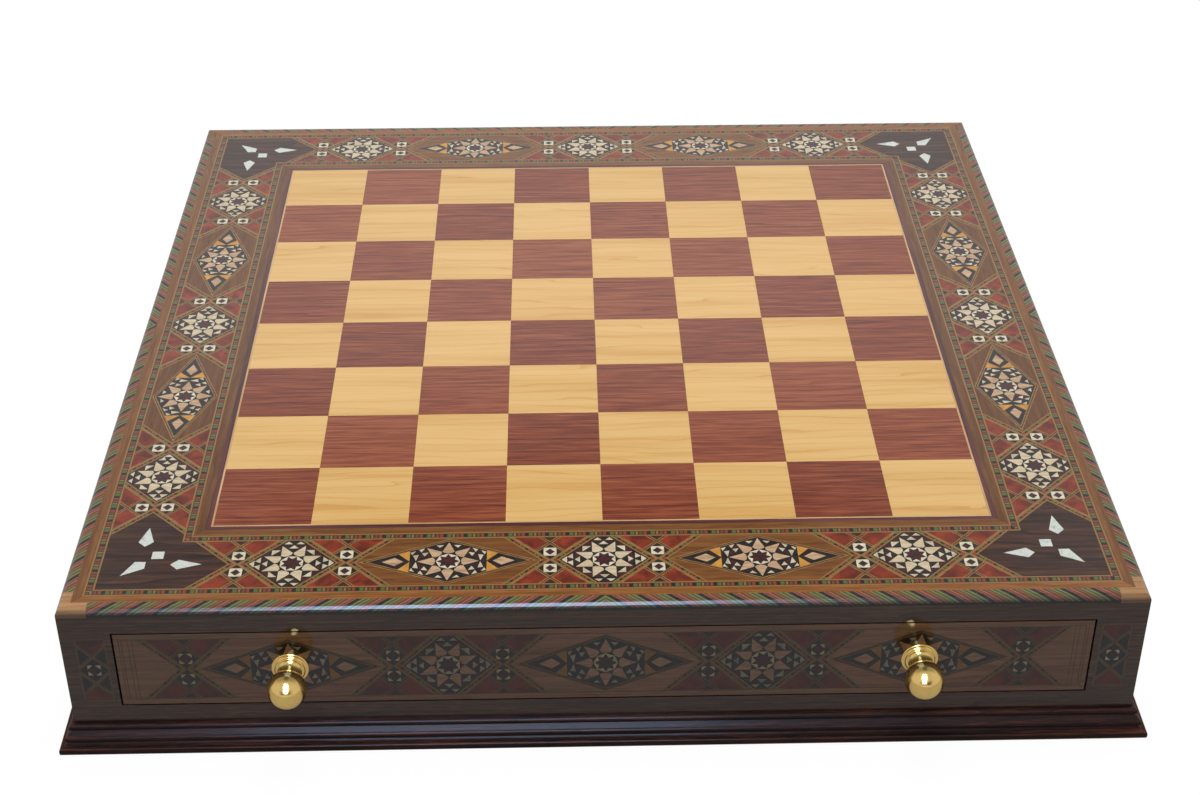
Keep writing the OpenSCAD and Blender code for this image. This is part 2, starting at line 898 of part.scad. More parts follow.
module mosaic_bands() {
    color([0.5, 0.45, 0.2]) {
        on_top_borders() at_each(top_knots) knot_bands();
        on_side_walls() fitted() at_each(face_knots) knot_bands();
    }
}

module ochre_tips() {
    color([0.8, 0.5, 0.1]) {
        on_top_borders() at_each(top_lozenges) ochre_pair();
        on_side_walls() fitted() at_each(face_lozenges) ochre_pair();
    }
}

module walnut_fields() {
    color([0.45, 0.25, 0.12]) on_top_borders() at_each(top_lozenges) lozenge_field();
}

// The pearl pieces of a corner, placed from the middle of the corner: a square and three kites
pearl_square = 4.8;
pearl_square_at = 6.55;
pearl_kite = [0, 3, 12.6];
pearl_kite_h = 3.1;
pearl_arm_at = [12.35, 0.35];
pearl_point_at = 2.35;

module pearl_kite_outline() {
    polygon(kite(pearl_kite[0], pearl_kite[1], pearl_kite[2], pearl_kite_h));
}

module pearl_outlines(height) {
    translate([pearl_square_at - pearl_square / 2, pearl_square_at - pearl_square / 2, 0])
        cube([pearl_square, pearl_square, height]);
    linear_extrude(height) translate(pearl_arm_at) pearl_kite_outline();
    linear_extrude(height) translate([pearl_arm_at[1], pearl_arm_at[0]]) rotate(90) pearl_kite_outline();
    linear_extrude(height) translate([pearl_point_at, pearl_point_at]) rotate(225) pearl_kite_outline();
}

module at_corners() {
    for (side = [0:3])
        rotate(90 * side) translate([-strip_mid, -strip_mid, base_top]) children();
}

// From the middle of the corner: two tips along the strips, and the corners of the strips
module corner_field() {
    half = strip_w / 2;
    tip = strip_mid - corner_tip;
    tile([[tip, 0], [tip - half, half], [half, half], [half, tip - half],
        [0, tip], [-half, tip - half], [-half, -half], [tip - half, -half]]);
}

module corner_fields() {
    color([0.16, 0.08, 0.06])
        at_corners()
            difference() {
                corner_field();
                translate([0, 0, -1]) pearl_outlines(veneer_t + 2);
            }
}

module pearl_inlays() {
    color([0.85, 0.93, 0.88]) at_corners() pearl_outlines(veneer_t);
}

// ---------- drawers: drawn at the front, turned round for the rear ----------

// Holes for the knob screws through a drawer front and its tiles
module knob_bores() {
    for (side = [-1, 1])
        translate([side * knob_x, -case_half - 1, face_mid_z])
            rotate([-90, 0, 0]) cylinder(d = screw_d + screw_play, h = front_t + 2);
}

module drawer_face() {
    difference() {
        block([-drawer_half, -case_half, drawer_z],
            [drawer_half, drawer_front_y, drawer_z + drawer_h]);
        on_front() face_pocket();
        block([-tray_half, drawer_front_y - groove, opening_z + bottom_lift],
            [tray_half, drawer_front_y + 1, tray_z]);
        knob_bores();
    }
}

module drawer_side() {
    difference() {
        block([-drawer_half, drawer_front_y, opening_z],
            [-tray_half, drawer_back_y, opening_z + drawer_side_h]);
        block([-tray_half - groove, drawer_front_y - 1, opening_z + bottom_lift],
            [-tray_half + 1, drawer_back_y + 1, tray_z]);
    }
}

module drawer_back() {
    difference() {
        block([-tray_half, tray_back_y, opening_z],
            [tray_half, drawer_back_y, opening_z + drawer_side_h]);
        block([-tray_half - 1, tray_back_y - 1, opening_z + bottom_lift],
            [tray_half + 1, tray_back_y + groove, tray_z]);
    }
}

module drawer_bottom() {
    block([-tray_half - groove, drawer_front_y, opening_z + bottom_lift],
        [tray_half + groove, tray_back_y + groove, tray_z]);
    block([-tray_half, drawer_front_y - groove, opening_z + bottom_lift],
        [tray_half, drawer_front_y, tray_z]);
}

module drawer_felt() {
    block([-tray_half, drawer_front_y, tray_z], [tray_half, tray_back_y, lining_z]);
}

// One long divider slotted from above and short ones slotted from below
partition_pitch = (2 * tray_half - (compartments - 1) * partition_t) / compartments + partition_t;
long_y = (drawer_front_y + tray_back_y) / 2;

module drawer_dividers() {
    half_t = partition_t / 2;
    slot_z = lining_z + partition_h / 2;
    crossings = [for (i = [1:compartments - 1]) -tray_half - half_t + i * partition_pitch];
    difference() {
        block([-tray_half, long_y - half_t, lining_z], [tray_half, long_y + half_t,
            lining_z + partition_h]);
        for (x = crossings)
            block([x - half_t - slot_play, long_y - partition_t, slot_z - slot_play],
                [x + half_t + slot_play, long_y + partition_t, lining_z + partition_h + 1]);
    }
    for (x = crossings)
        difference() {
            block([x - half_t, drawer_front_y, lining_z],
                [x + half_t, tray_back_y, lining_z + partition_h]);
            block([x - partition_t, long_y - half_t - slot_play, lining_z - 1],
                [x + partition_t, long_y + half_t + slot_play, slot_z]);
        }
}

// Turned knob: a rosette with a rounded rim and a step, a waist that flares to it, and a ball.
// [radius, out] of everything under the ball
function knob_profile() =
    let (rim_r = rosette_t / 4, rosette_r = rosette_d / 2, step_r = rosette_r - 1.6,
        neck_r = neck_d / 2, flare = step_r - 0.5 - neck_r,
        meet = ball_out - sqrt(pow(ball_d / 2, 2) - neck_r * neck_r))
    concat([[0, 0]],
        arc([rosette_r - rim_r, rim_r], rim_r, -90, 90, 6),
        [[step_r, 2 * rim_r]],
        arc([step_r - rim_r, rosette_t - rim_r], rim_r, 0, 90, 4),
        [for (t = [15:15:90]) [neck_r + flare * (1 - sin(t)),
            rosette_t + (meet - rosette_t) * (1 - cos(t))]],
        [[neck_r, ball_out], [0, ball_out]]);

module knob() {
    difference() {
        union() {
            rotate_extrude() polygon(knob_profile());
            translate([0, 0, ball_out]) sphere(d = ball_d);
        }
        translate([0, 0, -1]) cylinder(d = screw_d, h = screw_depth + 1);
    }
}

module at_knobs() {
    for (side = [-1, 1])
        translate([side * knob_x, -case_half, face_mid_z]) rotate([90, 0, 0]) children();
}

module drawer_knobs() {
    at_knobs() knob();
}

module knob_screws() {
    at_knobs() {
        translate([0, 0, -front_t]) cylinder(d = screw_d, h = front_t + screw_depth - 0.5);
        translate([0, 0, -front_t - screw_head_h]) cylinder(d = screw_head_d, h = screw_head_h);
    }
}

module face_blackwood() {
    on_front() fitted() strip_blackwood(face_stars, face_lozenges, face_knots);
}

module face_bone() {
    on_front() fitted() {
        strip_bone(face_stars, face_lozenges);
        strip_white(face_stars, face_lozenges, face_knots);
    }
}

module face_padauk() {
    difference() {
        on_front() fitted() {
            at_each(face_knots) knot_reds();
            strip_rosewood(face_stars, face_lozenges, face_knots);
        }
        knob_bores();
    }
}

module face_lines() {
    on_front() {
        fitted() {
            strip_lines(face_lozenges, face_knots);
            at_each(face_knots) knot_bands();
            at_each(face_lozenges) ochre_pair();
        }
        line_frame(veneer_t);
    }
}

module drawer_piece(piece) {
    if (piece == "face") color([0.33, 0.19, 0.12]) drawer_face();
    if (piece == "left_side") color("burlywood") drawer_side();
    if (piece == "right_side") color("burlywood") mirror([1, 0, 0]) drawer_side();
    if (piece == "back") color("burlywood") drawer_back();
    if (piece == "bottom") color("tan") drawer_bottom();
    if (piece == "felt") color([0.4, 0.05, 0.07]) drawer_felt();
    if (piece == "dividers") color("burlywood") drawer_dividers();
    if (piece == "knobs") color("gold") drawer_knobs();
    if (piece == "screws") color("silver") knob_screws();
    if (piece == "blackwood") color([0.08, 0.07, 0.08]) face_blackwood();
    if (piece == "bone") color([0.85, 0.76, 0.6]) face_bone();
    if (piece == "padauk") color([0.35, 0.08, 0.06]) face_padauk();
    if (piece == "lines") color([0.6, 0.45, 0.25]) face_lines();
}

module rear_piece(piece) {
    rotate(180) drawer_piece(piece);
}

top_board();
left_wall();
right_wall();
front_top_rail();
front_bottom_rail();
rear_top_rail();
rear_bottom_rail();
bottom_board();
drawer_divider();
glue_blocks();
front_plinth();
rear_plinth();
left_plinth();
right_plinth();
light_squares();
dark_squares();
pale_line();
dark_line();
walnut_bands();
mosaic_stringing();
rope_edging();
front_corner_blocks();
rear_corner_blocks();
blackwood_tiles();
bone_inlays();
white_inlays();
rosewood_inlays();
padauk_tiles();
line_inlays();
mosaic_bands();
ochre_tips();
walnut_fields();
corner_fields();
pearl_inlays();
drawer_piece("face");  // front_drawer_face
drawer_piece("left_side");  // front_drawer_left_side
drawer_piece("right_side");  // front_drawer_right_side
drawer_piece("back");  // front_drawer_back
drawer_piece("bottom");  // front_drawer_bottom
drawer_piece("felt");  // front_drawer_felt
drawer_piece("dividers");  // front_drawer_dividers
drawer_piece("knobs");  // front_drawer_knobs
drawer_piece("screws");  // front_knob_screws
drawer_piece("blackwood");  // front_drawer_blackwood
drawer_piece("bone");  // front_drawer_bone
drawer_piece("padauk");  // front_drawer_padauk
drawer_piece("lines");  // front_drawer_lines
rear_piece("face");  // rear_drawer_face
rear_piece("left_side");  // rear_drawer_left_side
rear_piece("right_side");  // rear_drawer_right_side
rear_piece("back");  // rear_drawer_back
rear_piece("bottom");  // rear_drawer_bottom
rear_piece("felt");  // rear_drawer_felt
rear_piece("dividers");  // rear_drawer_dividers
rear_piece("knobs");  // rear_drawer_knobs
rear_piece("screws");  // rear_knob_screws
rear_piece("blackwood");  // rear_drawer_blackwood
rear_piece("bone");  // rear_drawer_bone
rear_piece("padauk");  // rear_drawer_padauk
rear_piece("lines");  // rear_drawer_lines
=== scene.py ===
# %% [markdown]
# # An inlaid chess box with two drawers
# The box is a low walnut case. Its top is a chess board inside a border of khatam marquetry: stars,
# lozenges and small squares cut from bone, blackwood and padauk. The whole is under a glossy lacquer.
# The imported model gives every board, tile, knob and drawer at its real size. This lesson adds the
# finishes and the finest tiles, and lights the box as a studio photograph would. It starts by loading
# that model and reading the boxes of its pieces.

# %% Load the imported model
import math

import bmesh
import bpy
from mathutils import Matrix, Vector


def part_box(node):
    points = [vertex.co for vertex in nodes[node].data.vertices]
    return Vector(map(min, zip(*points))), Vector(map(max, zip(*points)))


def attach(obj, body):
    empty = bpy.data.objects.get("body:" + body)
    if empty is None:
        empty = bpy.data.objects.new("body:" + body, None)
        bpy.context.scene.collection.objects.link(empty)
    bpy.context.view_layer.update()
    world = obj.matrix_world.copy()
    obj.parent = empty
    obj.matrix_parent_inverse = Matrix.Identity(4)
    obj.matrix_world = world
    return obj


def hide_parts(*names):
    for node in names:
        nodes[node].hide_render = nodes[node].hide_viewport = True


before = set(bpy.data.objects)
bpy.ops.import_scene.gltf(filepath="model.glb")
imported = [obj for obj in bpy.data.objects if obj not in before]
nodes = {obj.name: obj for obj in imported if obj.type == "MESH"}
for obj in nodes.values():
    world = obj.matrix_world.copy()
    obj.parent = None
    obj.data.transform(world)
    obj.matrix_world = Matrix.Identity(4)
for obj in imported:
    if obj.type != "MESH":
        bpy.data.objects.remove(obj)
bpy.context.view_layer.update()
MM = 0.001

# %% [markdown]
# ## Sizes taken from the model
# A finish that follows the board, such as the mosaic of the stringing, needs to know where the board's
# rings lie. They could be typed in, but here they are read from the boxes of the pieces, so the pattern
# stays in place if a size changes. Only the width of the marquetry strip is written, in millimetres.

# %% Sizes
board_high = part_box("light_squares")[1]
TOP = board_high.z
BOARD_HALF = board_high.x
SQUARE = 2 * BOARD_HALF / 8
STRIP_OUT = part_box("corner_fields")[1].x
CASE_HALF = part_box("left_wall")[1].y
MOSAIC_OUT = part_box("mosaic_stringing")[1].x
ROPE_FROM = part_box("walnut_bands")[1].x
STRINGING = MOSAIC_OUT - STRIP_OUT
STRIP = 30 * MM
STRIP_MID = STRIP_OUT - STRIP / 2
face_low, face_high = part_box("front_drawer_face")
FACE_MID = (face_low.z + face_high.z) / 2
print("square", round(SQUARE / MM, 2), "strip middle", round(STRIP_MID / MM, 2),
      "face middle", round(FACE_MID / MM, 2))

# %% [markdown]
# ## The camera
# The photograph looks down at the board from the front, a little left of its middle. A lens of about
# 60 mm on a 36 mm sensor gives the same convergence of the sides, so the nearer border looks wider. The
# camera is turned by its own three directions, which keeps its slight roll without any angles.

# %% Camera
CAMERA_AT = Vector((-0.0162, -0.8256, 0.5678))
CAMERA_RIGHT = Vector((0.99974, -0.0229, -0.0002))
CAMERA_FORWARD = Vector((0.0190, 0.8356, -0.5490))
LENS, SENSOR, NEAREST = 60.39, 36, 0.01


def make_camera(place, forward, right, lens):
    back = -forward.normalized()
    right = (right - right.project(back)).normalized()
    up = back.cross(right)
    camera = bpy.data.objects.new("camera", bpy.data.cameras.new("camera"))
    camera.data.lens = lens
    camera.data.sensor_width = SENSOR
    camera.data.clip_start = NEAREST
    turn = Matrix((right, up, back)).transposed().to_4x4()
    camera.matrix_world = Matrix.Translation(place) @ turn
    bpy.context.scene.collection.objects.link(camera)
    bpy.context.scene.camera = camera


make_camera(CAMERA_AT, CAMERA_FORWARD, CAMERA_RIGHT, LENS)
bpy.context.scene.view_settings.view_transform = "Standard"
print("camera", [round(v, 3) for v in CAMERA_AT], "lens", LENS, "mm")

# %% [markdown]
# ## Building shaders from small parts
# A finish or a light is a tree of nodes. Wiring each node by hand takes several lines, so three helpers
# do it: one adds any node and links it, one turns a number into a grey by steps, and one mixes two
# values. Everything below is made with them.

# %% Helpers for node trees


def add(tree, kind, links=(), **values):
    """Adds a node, sets its properties and inputs, and links sockets into it."""
    made = tree.nodes.new(kind)
    for key, value in values.items():
        if hasattr(made, key) and key not in made.inputs:
            setattr(made, key, value)
        else:
            made.inputs[key.replace("_", " ")].default_value = value
    for key, socket in dict(links).items():
        tree.links.new(socket, made.inputs[key])
    return made


def ramped(tree, value, stops):
    """A grey that follows a number from 0 to 1 through (place, level) stops."""
    made = tree.nodes.new("ShaderNodeValToRGB")
    while len(made.color_ramp.elements) < len(stops):
        made.color_ramp.elements.new(0.5)
    for element, (place, level) in zip(made.color_ramp.elements, stops):
        element.position, element.color = place, (level, level, level, 1)
    tree.links.new(value, made.inputs[0])
    return made.outputs[0]


# For each kind of Mix node, its sockets for the factor and the two values, and the one that gives the mix
MIX_SOCKETS = {"FLOAT": ((0, 2, 3), 0), "RGBA": ((0, 6, 7), 2)}


def blend(tree, factor, first, second, kind="RGBA"):
    """Mixes two sockets or values by a factor; gives the mixed output."""
    made = tree.nodes.new("ShaderNodeMix")
    made.data_type = kind
    sockets, output = MIX_SOCKETS[kind]
    for socket, value in zip(sockets, (factor, first, second)):
        if hasattr(value, "links"):
            tree.links.new(value, made.inputs[socket])
        else:
            made.inputs[socket].default_value = value
    return made.outputs[output]


print("node helpers:", [helper.__name__ for helper in (add, ramped, blend)])

# %% [markdown]
# ## The room
# Lacquer and brass show what is round them, so the room matters more than the lamps. Behind the box it is
# white, which lays a grey veil on the far squares, and it is darker higher up and in front. The same room
# would also light the wood, and too brightly, so what lights things follows a ramp of its own, and the
# camera sees plain white. Light Path tells the three apart.

# %% The room
WHITE = (1, 1, 1, 1)
BACK_FROM, BACK_TO = -0.1, 0.25
# What lights things: from and to along y, and the level at each
ROOM_LIGHT = (-0.6, 0.7, 0.03, 0.66)
# What reflections show: (height of the direction, level), behind the box and in front of it
BEHIND_MIDDLE = [(0.0, 0.72), (0.42, 0.74), (0.5, 0.92), (0.53, 0.88), (0.6, 0.12)]
BEHIND_SIDES = [(0.0, 0.72), (0.42, 0.68), (0.52, 0.66), (0.64, 0.5), (0.8, 0.35)]
AHEAD_MIDDLE = [(0.0, 0.9), (0.10, 0.85), (0.2, 0.08), (0.42, 0.08), (0.56, 0.6)]
AHEAD_SIDES = (0.75, 0.75, 0.75, 1)
# Where the middle gives way to the sides, by how far a direction points to the left or right
BEHIND_SPREAD = [(0.10, 0.0), (0.26, 1.0)]
AHEAD_SPREAD = [(0.35, 0.0), (0.65, 1.0)]


def make_world():
    world = bpy.data.worlds.new("studio")
    world.use_nodes = True
    tree = world.node_tree
    tree.nodes.clear()
    coords = tree.nodes.new("ShaderNodeTexCoord")
    way = add(tree, "ShaderNodeSeparateXYZ", {0: coords.outputs["Generated"]})
    back = add(tree, "ShaderNodeMapRange", {0: way.outputs[1]}, interpolation_type="SMOOTHSTEP")
    back.inputs[1].default_value, back.inputs[2].default_value = BACK_FROM, BACK_TO
    lit = add(tree, "ShaderNodeMapRange", {0: way.outputs[1]})
    for socket, value in zip((1, 2, 3, 4), ROOM_LIGHT):
        lit.inputs[socket].default_value = value
    middle = ramped(tree, way.outputs[2], BEHIND_MIDDLE)
    aside = ramped(tree, way.outputs[2], BEHIND_SIDES)
    sideways = add(tree, "ShaderNodeMath", {0: way.outputs[0]}, operation="ABSOLUTE")
    behind = blend(tree, ramped(tree, sideways.outputs[0], BEHIND_SPREAD), middle, aside)
    facing = ramped(tree, way.outputs[2], AHEAD_MIDDLE)
    ahead = blend(tree, ramped(tree, sideways.outputs[0], AHEAD_SPREAD), facing, AHEAD_SIDES)
    shown = blend(tree, back.outputs[0], ahead, behind)
    path = tree.nodes.new("ShaderNodeLightPath")
    seen = add(tree, "ShaderNodeMath", {0: path.outputs["Is Camera Ray"],
                                        1: path.outputs["Is Transmission Ray"]}, operation="MAXIMUM")
    level = blend(tree, path.outputs["Is Glossy Ray"], lit.outputs[0], shown)
    level = blend(tree, seen.outputs[0], level, WHITE)
    light = add(tree, "ShaderNodeBackground", {"Color": level})
    add(tree, "ShaderNodeOutputWorld", {"Surface": light.outputs[0]})
    bpy.context.scene.world = world


make_world()
print("room", bpy.context.scene.world.name, len(bpy.context.scene.world.node_tree.nodes), "nodes")

# %% [markdown]
# ## The floor
# The box stands on white paper. Enough light to make grey paper white would wash out the wood, so the
# paper glows a little instead: mostly to the camera, and less to reflections. The share that doesn't glow
# still takes a soft shadow.

# %% The floor
PAPER = (0.3, 0.3, 0.3, 1)
PAPER_GLOW = 1.14


def make_floor(size, to_camera, to_gloss):
    """Paper that glows white by a share to the camera and by another share to reflections."""
    mesh = bpy.data.meshes.new("floor")
    bm = bmesh.new()
    bmesh.ops.create_grid(bm, x_segments=1, y_segments=1, size=size)
    bm.to_mesh(mesh)
    bm.free()
    floor = bpy.data.objects.new("floor", mesh)
    bpy.context.scene.collection.objects.link(floor)
    mat = bpy.data.materials.new("floor_paper")
    mat.use_nodes = True
    tree = mat.node_tree
    tree.nodes.clear()
    paper = add(tree, "ShaderNodeBsdfDiffuse", Color=PAPER)
    white = add(tree, "ShaderNodeEmission", Color=WHITE, Strength=PAPER_GLOW)
    path = tree.nodes.new("ShaderNodeLightPath")
    share = blend(tree, path.outputs["Is Glossy Ray"], 0.0, to_gloss, "FLOAT")
    seen = add(tree, "ShaderNodeMath", {0: path.outputs["Is Camera Ray"],
                                        1: path.outputs["Is Transmission Ray"]}, operation="MAXIMUM")
    share = blend(tree, seen.outputs[0], share, to_camera, "FLOAT")
    mix = add(tree, "ShaderNodeMixShader", {0: share, 1: paper.outputs[0], 2: white.outputs[0]})
    add(tree, "ShaderNodeOutputMaterial", {"Surface": mix.outputs[0]})
    mesh.materials.append(mat)
    return floor


floor = make_floor(size=6, to_camera=0.85, to_gloss=0.27)
print("floor", [round(v, 1) for v in floor.dimensions])

# %% [markdown]
# ## Two lamps
# A white soft lamp over the board lights every surface but shows in none. A tall bluish window stands
# behind the viewer and shows only as a reflection. From there it meets just the rounded edge, the slopes
# of the plinth and the brass, and leaves the reflections in the flat top to the room.

# %% Lamps


def soft_lamp(name, place, target, width, height, power, colour, mirrored):
    """A lamp that either lights things or, mirrored, shows only as a reflection in them."""
    lamp = bpy.data.lights.new(name, "AREA")
    lamp.shape = "RECTANGLE"
    lamp.size, lamp.size_y = width, height
    lamp.energy = power
    lamp.color = colour
    thing = bpy.data.objects.new(name, lamp)
    thing.location = place
    thing.visible_glossy, thing.visible_diffuse = mirrored, not mirrored
    thing.rotation_euler = (Vector(target) - Vector(place)).to_track_quat("-Z", "Y").to_euler()
    bpy.context.scene.collection.objects.link(thing)


soft_lamp("softbox", place=(0.02, 0.05, 1.25), target=(0.02, 0.0501, 0.0), width=0.7, height=0.7,
          power=12.8, colour=(1, 1, 1), mirrored=False)
soft_lamp("blue_window", place=(-0.10, -1.06, 0.92), target=(-0.05, -0.214, 0.07), width=0.45,
          height=1.2, power=26, colour=(0.50, 0.68, 1.0), mirrored=True)
print("lamps", [(lamp.name, round(lamp.energy, 1)) for lamp in bpy.data.lights])

# %% [markdown]
# ## Measuring across a piece
# A pattern needs to know where a point lies. The boards and tiles all sit at the origin, so their Object
# coordinates are metres from the middle of the box. Grain runs along x, along y, or along whichever side
# of the case is nearest, which turns it by itself at the four mitres.

# %% Directions on the box


def blank_material(name):
    mat = bpy.data.materials.new(name)
    mat.use_nodes = True
    return mat, mat.node_tree, mat.node_tree.nodes["Principled BSDF"]


def maths(tree, operation, first, second=None):
    """A Math node on two sockets or numbers; gives its output."""
    made = tree.nodes.new("ShaderNodeMath")
    made.operation = operation
    for i, value in enumerate((first, second)):
        if value is None:
            continue
        if isinstance(value, (int, float)):
            made.inputs[i].default_value = value
        else:
            tree.links.new(value, made.inputs[i])
    return made.outputs[0]


def object_axes(tree):
    coords = tree.nodes.new("ShaderNodeTexCoord")
    split = add(tree, "ShaderNodeSeparateXYZ", {0: coords.outputs["Object"]})
    return split.outputs[0], split.outputs[1], split.outputs[2]


def round_the_case(tree):
    """Along the nearest side of the case, the distance out from its middle, and the height."""
    x, y, z = object_axes(tree)
    far_x, far_y = maths(tree, "ABSOLUTE", x), maths(tree, "ABSOLUTE", y)
    on_side = maths(tree, "GREATER_THAN", far_x, far_y)
    return blend(tree, on_side, x, y, "FLOAT"), maths(tree, "MAXIMUM", far_x, far_y), z


def grain_axes(tree, run):
    """Distances along the grain, across it and up: run is 'x', 'y' or 'side'."""
    x, y, z = object_axes(tree)
    return {"x": (x, y, z), "y": (y, x, z)}[run] if run != "side" else round_the_case(tree)


print("grain may run along x, y or side")

# %% [markdown]
# ## Noise and colour
# Wood, bone and pearl are all a noise read through a ramp of colours. Stretching the noise along one
# direction turns its patches into fibres.

# %% Noise and colour
LACQUER_SPECULAR = 0.08


def joined(tree, a, b, c):
    """Three numbers as one vector."""
    return add(tree, "ShaderNodeCombineXYZ", {0: a, 1: b, 2: c}).outputs[0]


def stretched_noise(tree, vector, along, across, detail=3.0, distortion=0.0):
    """Noise whose patches are along by across metres."""
    scaled = add(tree, "ShaderNodeVectorMath", {0: vector}, operation="MULTIPLY")
    scaled.inputs[1].default_value = (1 / along, 1 / across, 1 / across)
    made = add(tree, "ShaderNodeTexNoise", {"Vector": scaled.outputs[0]}, Scale=1.0, Detail=detail)
    made.inputs["Distortion"].default_value = distortion
    return made.outputs["Fac"]


def ramp(tree, factor, stops, interpolation="LINEAR"):
    """A colour that follows a number through (place, colour) stops."""
    made = tree.nodes.new("ShaderNodeValToRGB")
    made.color_ramp.interpolation = interpolation
    made.color_ramp.elements[0].position = stops[0][0]
    made.color_ramp.elements[0].color = (*stops[0][1], 1)
    made.color_ramp.elements[1].position = stops[1][0]
    made.color_ramp.elements[1].color = (*stops[1][1], 1)
    for place, colour in stops[2:]:
        made.color_ramp.elements.new(place).color = (*colour, 1)
    tree.links.new(factor, made.inputs[0])
    return made.outputs[0]


def scaled_colour(colour, factor):
    return tuple(part * factor for part in colour)


def lacquer(bsdf, roughness, coat, coat_roughness):
    """A dull ground with a share of clear coat on top."""
    bsdf.inputs["Roughness"].default_value = roughness
    bsdf.inputs["Coat Weight"].default_value = coat
    bsdf.inputs["Coat Roughness"].default_value = coat_roughness
    bsdf.inputs["Specular IOR Level"].default_value = LACQUER_SPECULAR


print("noise helpers:", [helper.__name__ for helper in (joined, stretched_noise, ramp, lacquer)])

# %% [markdown]
# ## Wood under lacquer
# Every wood here is one recipe. Growth lines are bands across the grain that a slow noise bends, fibres
# are a fine noise stretched along the grain, and a broad noise makes the figure. Only the clear coat on
# top reflects, so the fibres stay dull under the lacquer and the reflection stays sharp. The squares are
# cut from different boards, so each one shifts the recipe by a number of its own.

# %% The recipe for wood
DEEP_AT, MIDDLE_AT, PALE_AT = 0.28, 0.47, 0.62
SHIFT_ACROSS, SHIFT_ALONG, SHIFT_TONE = 0.7, 3.1, 0.10
FIBRE_STRETCH, BEND_LONG, BEND_WIDE, BEND_LINES = 26, 90, 14, 3.5
BUMP_DEPTH = 0.00005
# The dark colour of the painted shade on the left and right sides
PAINTED_SIDE_SHADE = (0.01, 0.004, 0.002, 1)


def tile_offset(tree, size):
    """A number from 0 to 1 that is the same all over one square of the board."""
    x, y, z = object_axes(tree)
    snapped = joined(tree, maths(tree, "FLOOR", maths(tree, "DIVIDE", x, size)),
                     maths(tree, "FLOOR", maths(tree, "DIVIDE", y, size)), z)
    flat = add(tree, "ShaderNodeVectorMath", {0: snapped}, operation="MULTIPLY")
    flat.inputs[1].default_value = (1, 1, 0)
    return add(tree, "ShaderNodeTexWhiteNoise", {"Vector": flat.outputs[0]},
               noise_dimensions="3D").outputs["Value"]


def wood(name, deep, middle, pale, run="x", line_gap=3.0, line_depth=0.25, figure=(60, 6), fibre=0.35,
         roughness=0.5, coat=1.0, coat_roughness=0.04, tiles=None, bump=0.15, within=None, painted_side_shade=1.0,
         thread=0.35, sharp=6.0):
    """A wood: three colours, growth lines line_gap mm apart, and a figure of patches in mm.
    within=(distance, shade) darkens what lies nearer to the middle of the board. The share for the
    sides is painted shade: it darkens the left and right, for how light falls on their grain."""
    mat, tree, bsdf = blank_material(name)
    along, across, up = grain_axes(tree, run)
    depth = maths(tree, "ADD", across, up)
    if tiles:
        shift = tile_offset(tree, tiles)
        depth = maths(tree, "ADD", depth, maths(tree, "MULTIPLY", shift, SHIFT_ACROSS))
        along = maths(tree, "ADD", along, maths(tree, "MULTIPLY", shift, SHIFT_ALONG))
    vector = joined(tree, along, depth, up)
    broad = stretched_noise(tree, vector, figure[0] * MM, figure[1] * MM, 4.0, 0.3)
    fine = stretched_noise(tree, vector, FIBRE_STRETCH * thread * MM, thread * MM, 3.0)
    bend = stretched_noise(tree, vector, BEND_LONG * MM, BEND_WIDE * MM, 2.0)
    lines = maths(tree, "ADD", maths(tree, "DIVIDE", depth, line_gap * MM),
                  maths(tree, "MULTIPLY", bend, BEND_LINES))
    saw = maths(tree, "POWER", maths(tree, "FRACT", lines), sharp)
    tone = maths(tree, "ADD", maths(tree, "MULTIPLY", broad, 1 - fibre),
                 maths(tree, "MULTIPLY", fine, fibre))
    tone = maths(tree, "SUBTRACT", tone, maths(tree, "MULTIPLY", saw, line_depth))
    if tiles:
        own_tone = maths(tree, "MULTIPLY", maths(tree, "SUBTRACT", shift, 0.5), SHIFT_TONE)
        tone = maths(tree, "ADD", tone, own_tone)
    stops = [(DEEP_AT, deep), (PALE_AT, pale), (MIDDLE_AT, middle)]
    colour = ramp(tree, tone, stops)
    if within:
        inside = maths(tree, "LESS_THAN", across, within[0])
        darker = ramp(tree, tone, [(place, scaled_colour(shade, within[1])) for place, shade in stops])
        colour = blend(tree, inside, colour, darker)
    # Painted shade: the left and right sides are darkened by a share, for how light falls on their grain
    if painted_side_shade < 1.0:
        x, y, z = object_axes(tree)
        on_side = maths(tree, "GREATER_THAN", maths(tree, "ABSOLUTE", x), maths(tree, "ABSOLUTE", y))
        colour = blend(tree, maths(tree, "MULTIPLY", on_side, 1 - painted_side_shade), colour, PAINTED_SIDE_SHADE)
    tree.links.new(colour, bsdf.inputs["Base Color"])
    rough = add(tree, "ShaderNodeBump", {"Height": fine}, Strength=bump, Distance=BUMP_DEPTH)
    tree.links.new(rough.outputs[0], bsdf.inputs["Normal"])
    lacquer(bsdf, roughness, coat, coat_roughness)
    return mat


def dress(material, *names):
    """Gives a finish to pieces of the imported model."""
    for name in names:
        slots = nodes[name].data.materials
        slots.clear()
        slots.append(material)


print("a wood has its dark, middle and pale colour at", DEEP_AT, MIDDLE_AT, PALE_AT)

# %% [markdown]
# ## The squares of the board
# The light squares are maple, almost plain, with a few thin growth lines. The dark ones are padauk, a red
# wood full of short dark pores, so its fibre is strong and coarse.

# %% Maple and padauk squares
maple = wood("maple", (0.60, 0.32, 0.085), (0.68, 0.415, 0.142), (0.725, 0.455, 0.172), line_gap=5.2,
             line_depth=0.27, figure=(140, 8), fibre=0.2, tiles=SQUARE, sharp=12.0)
padauk = wood("padauk", (0.085, 0.012, 0.006), (0.22, 0.044, 0.015), (0.32, 0.09, 0.034), line_gap=4.0,
              line_depth=0.12, figure=(45, 1.8), fibre=0.55, tiles=SQUARE, thread=0.6)
dress(maple, "light_squares")
dress(padauk, "dark_squares")
print("squares:", maple.name, padauk.name)
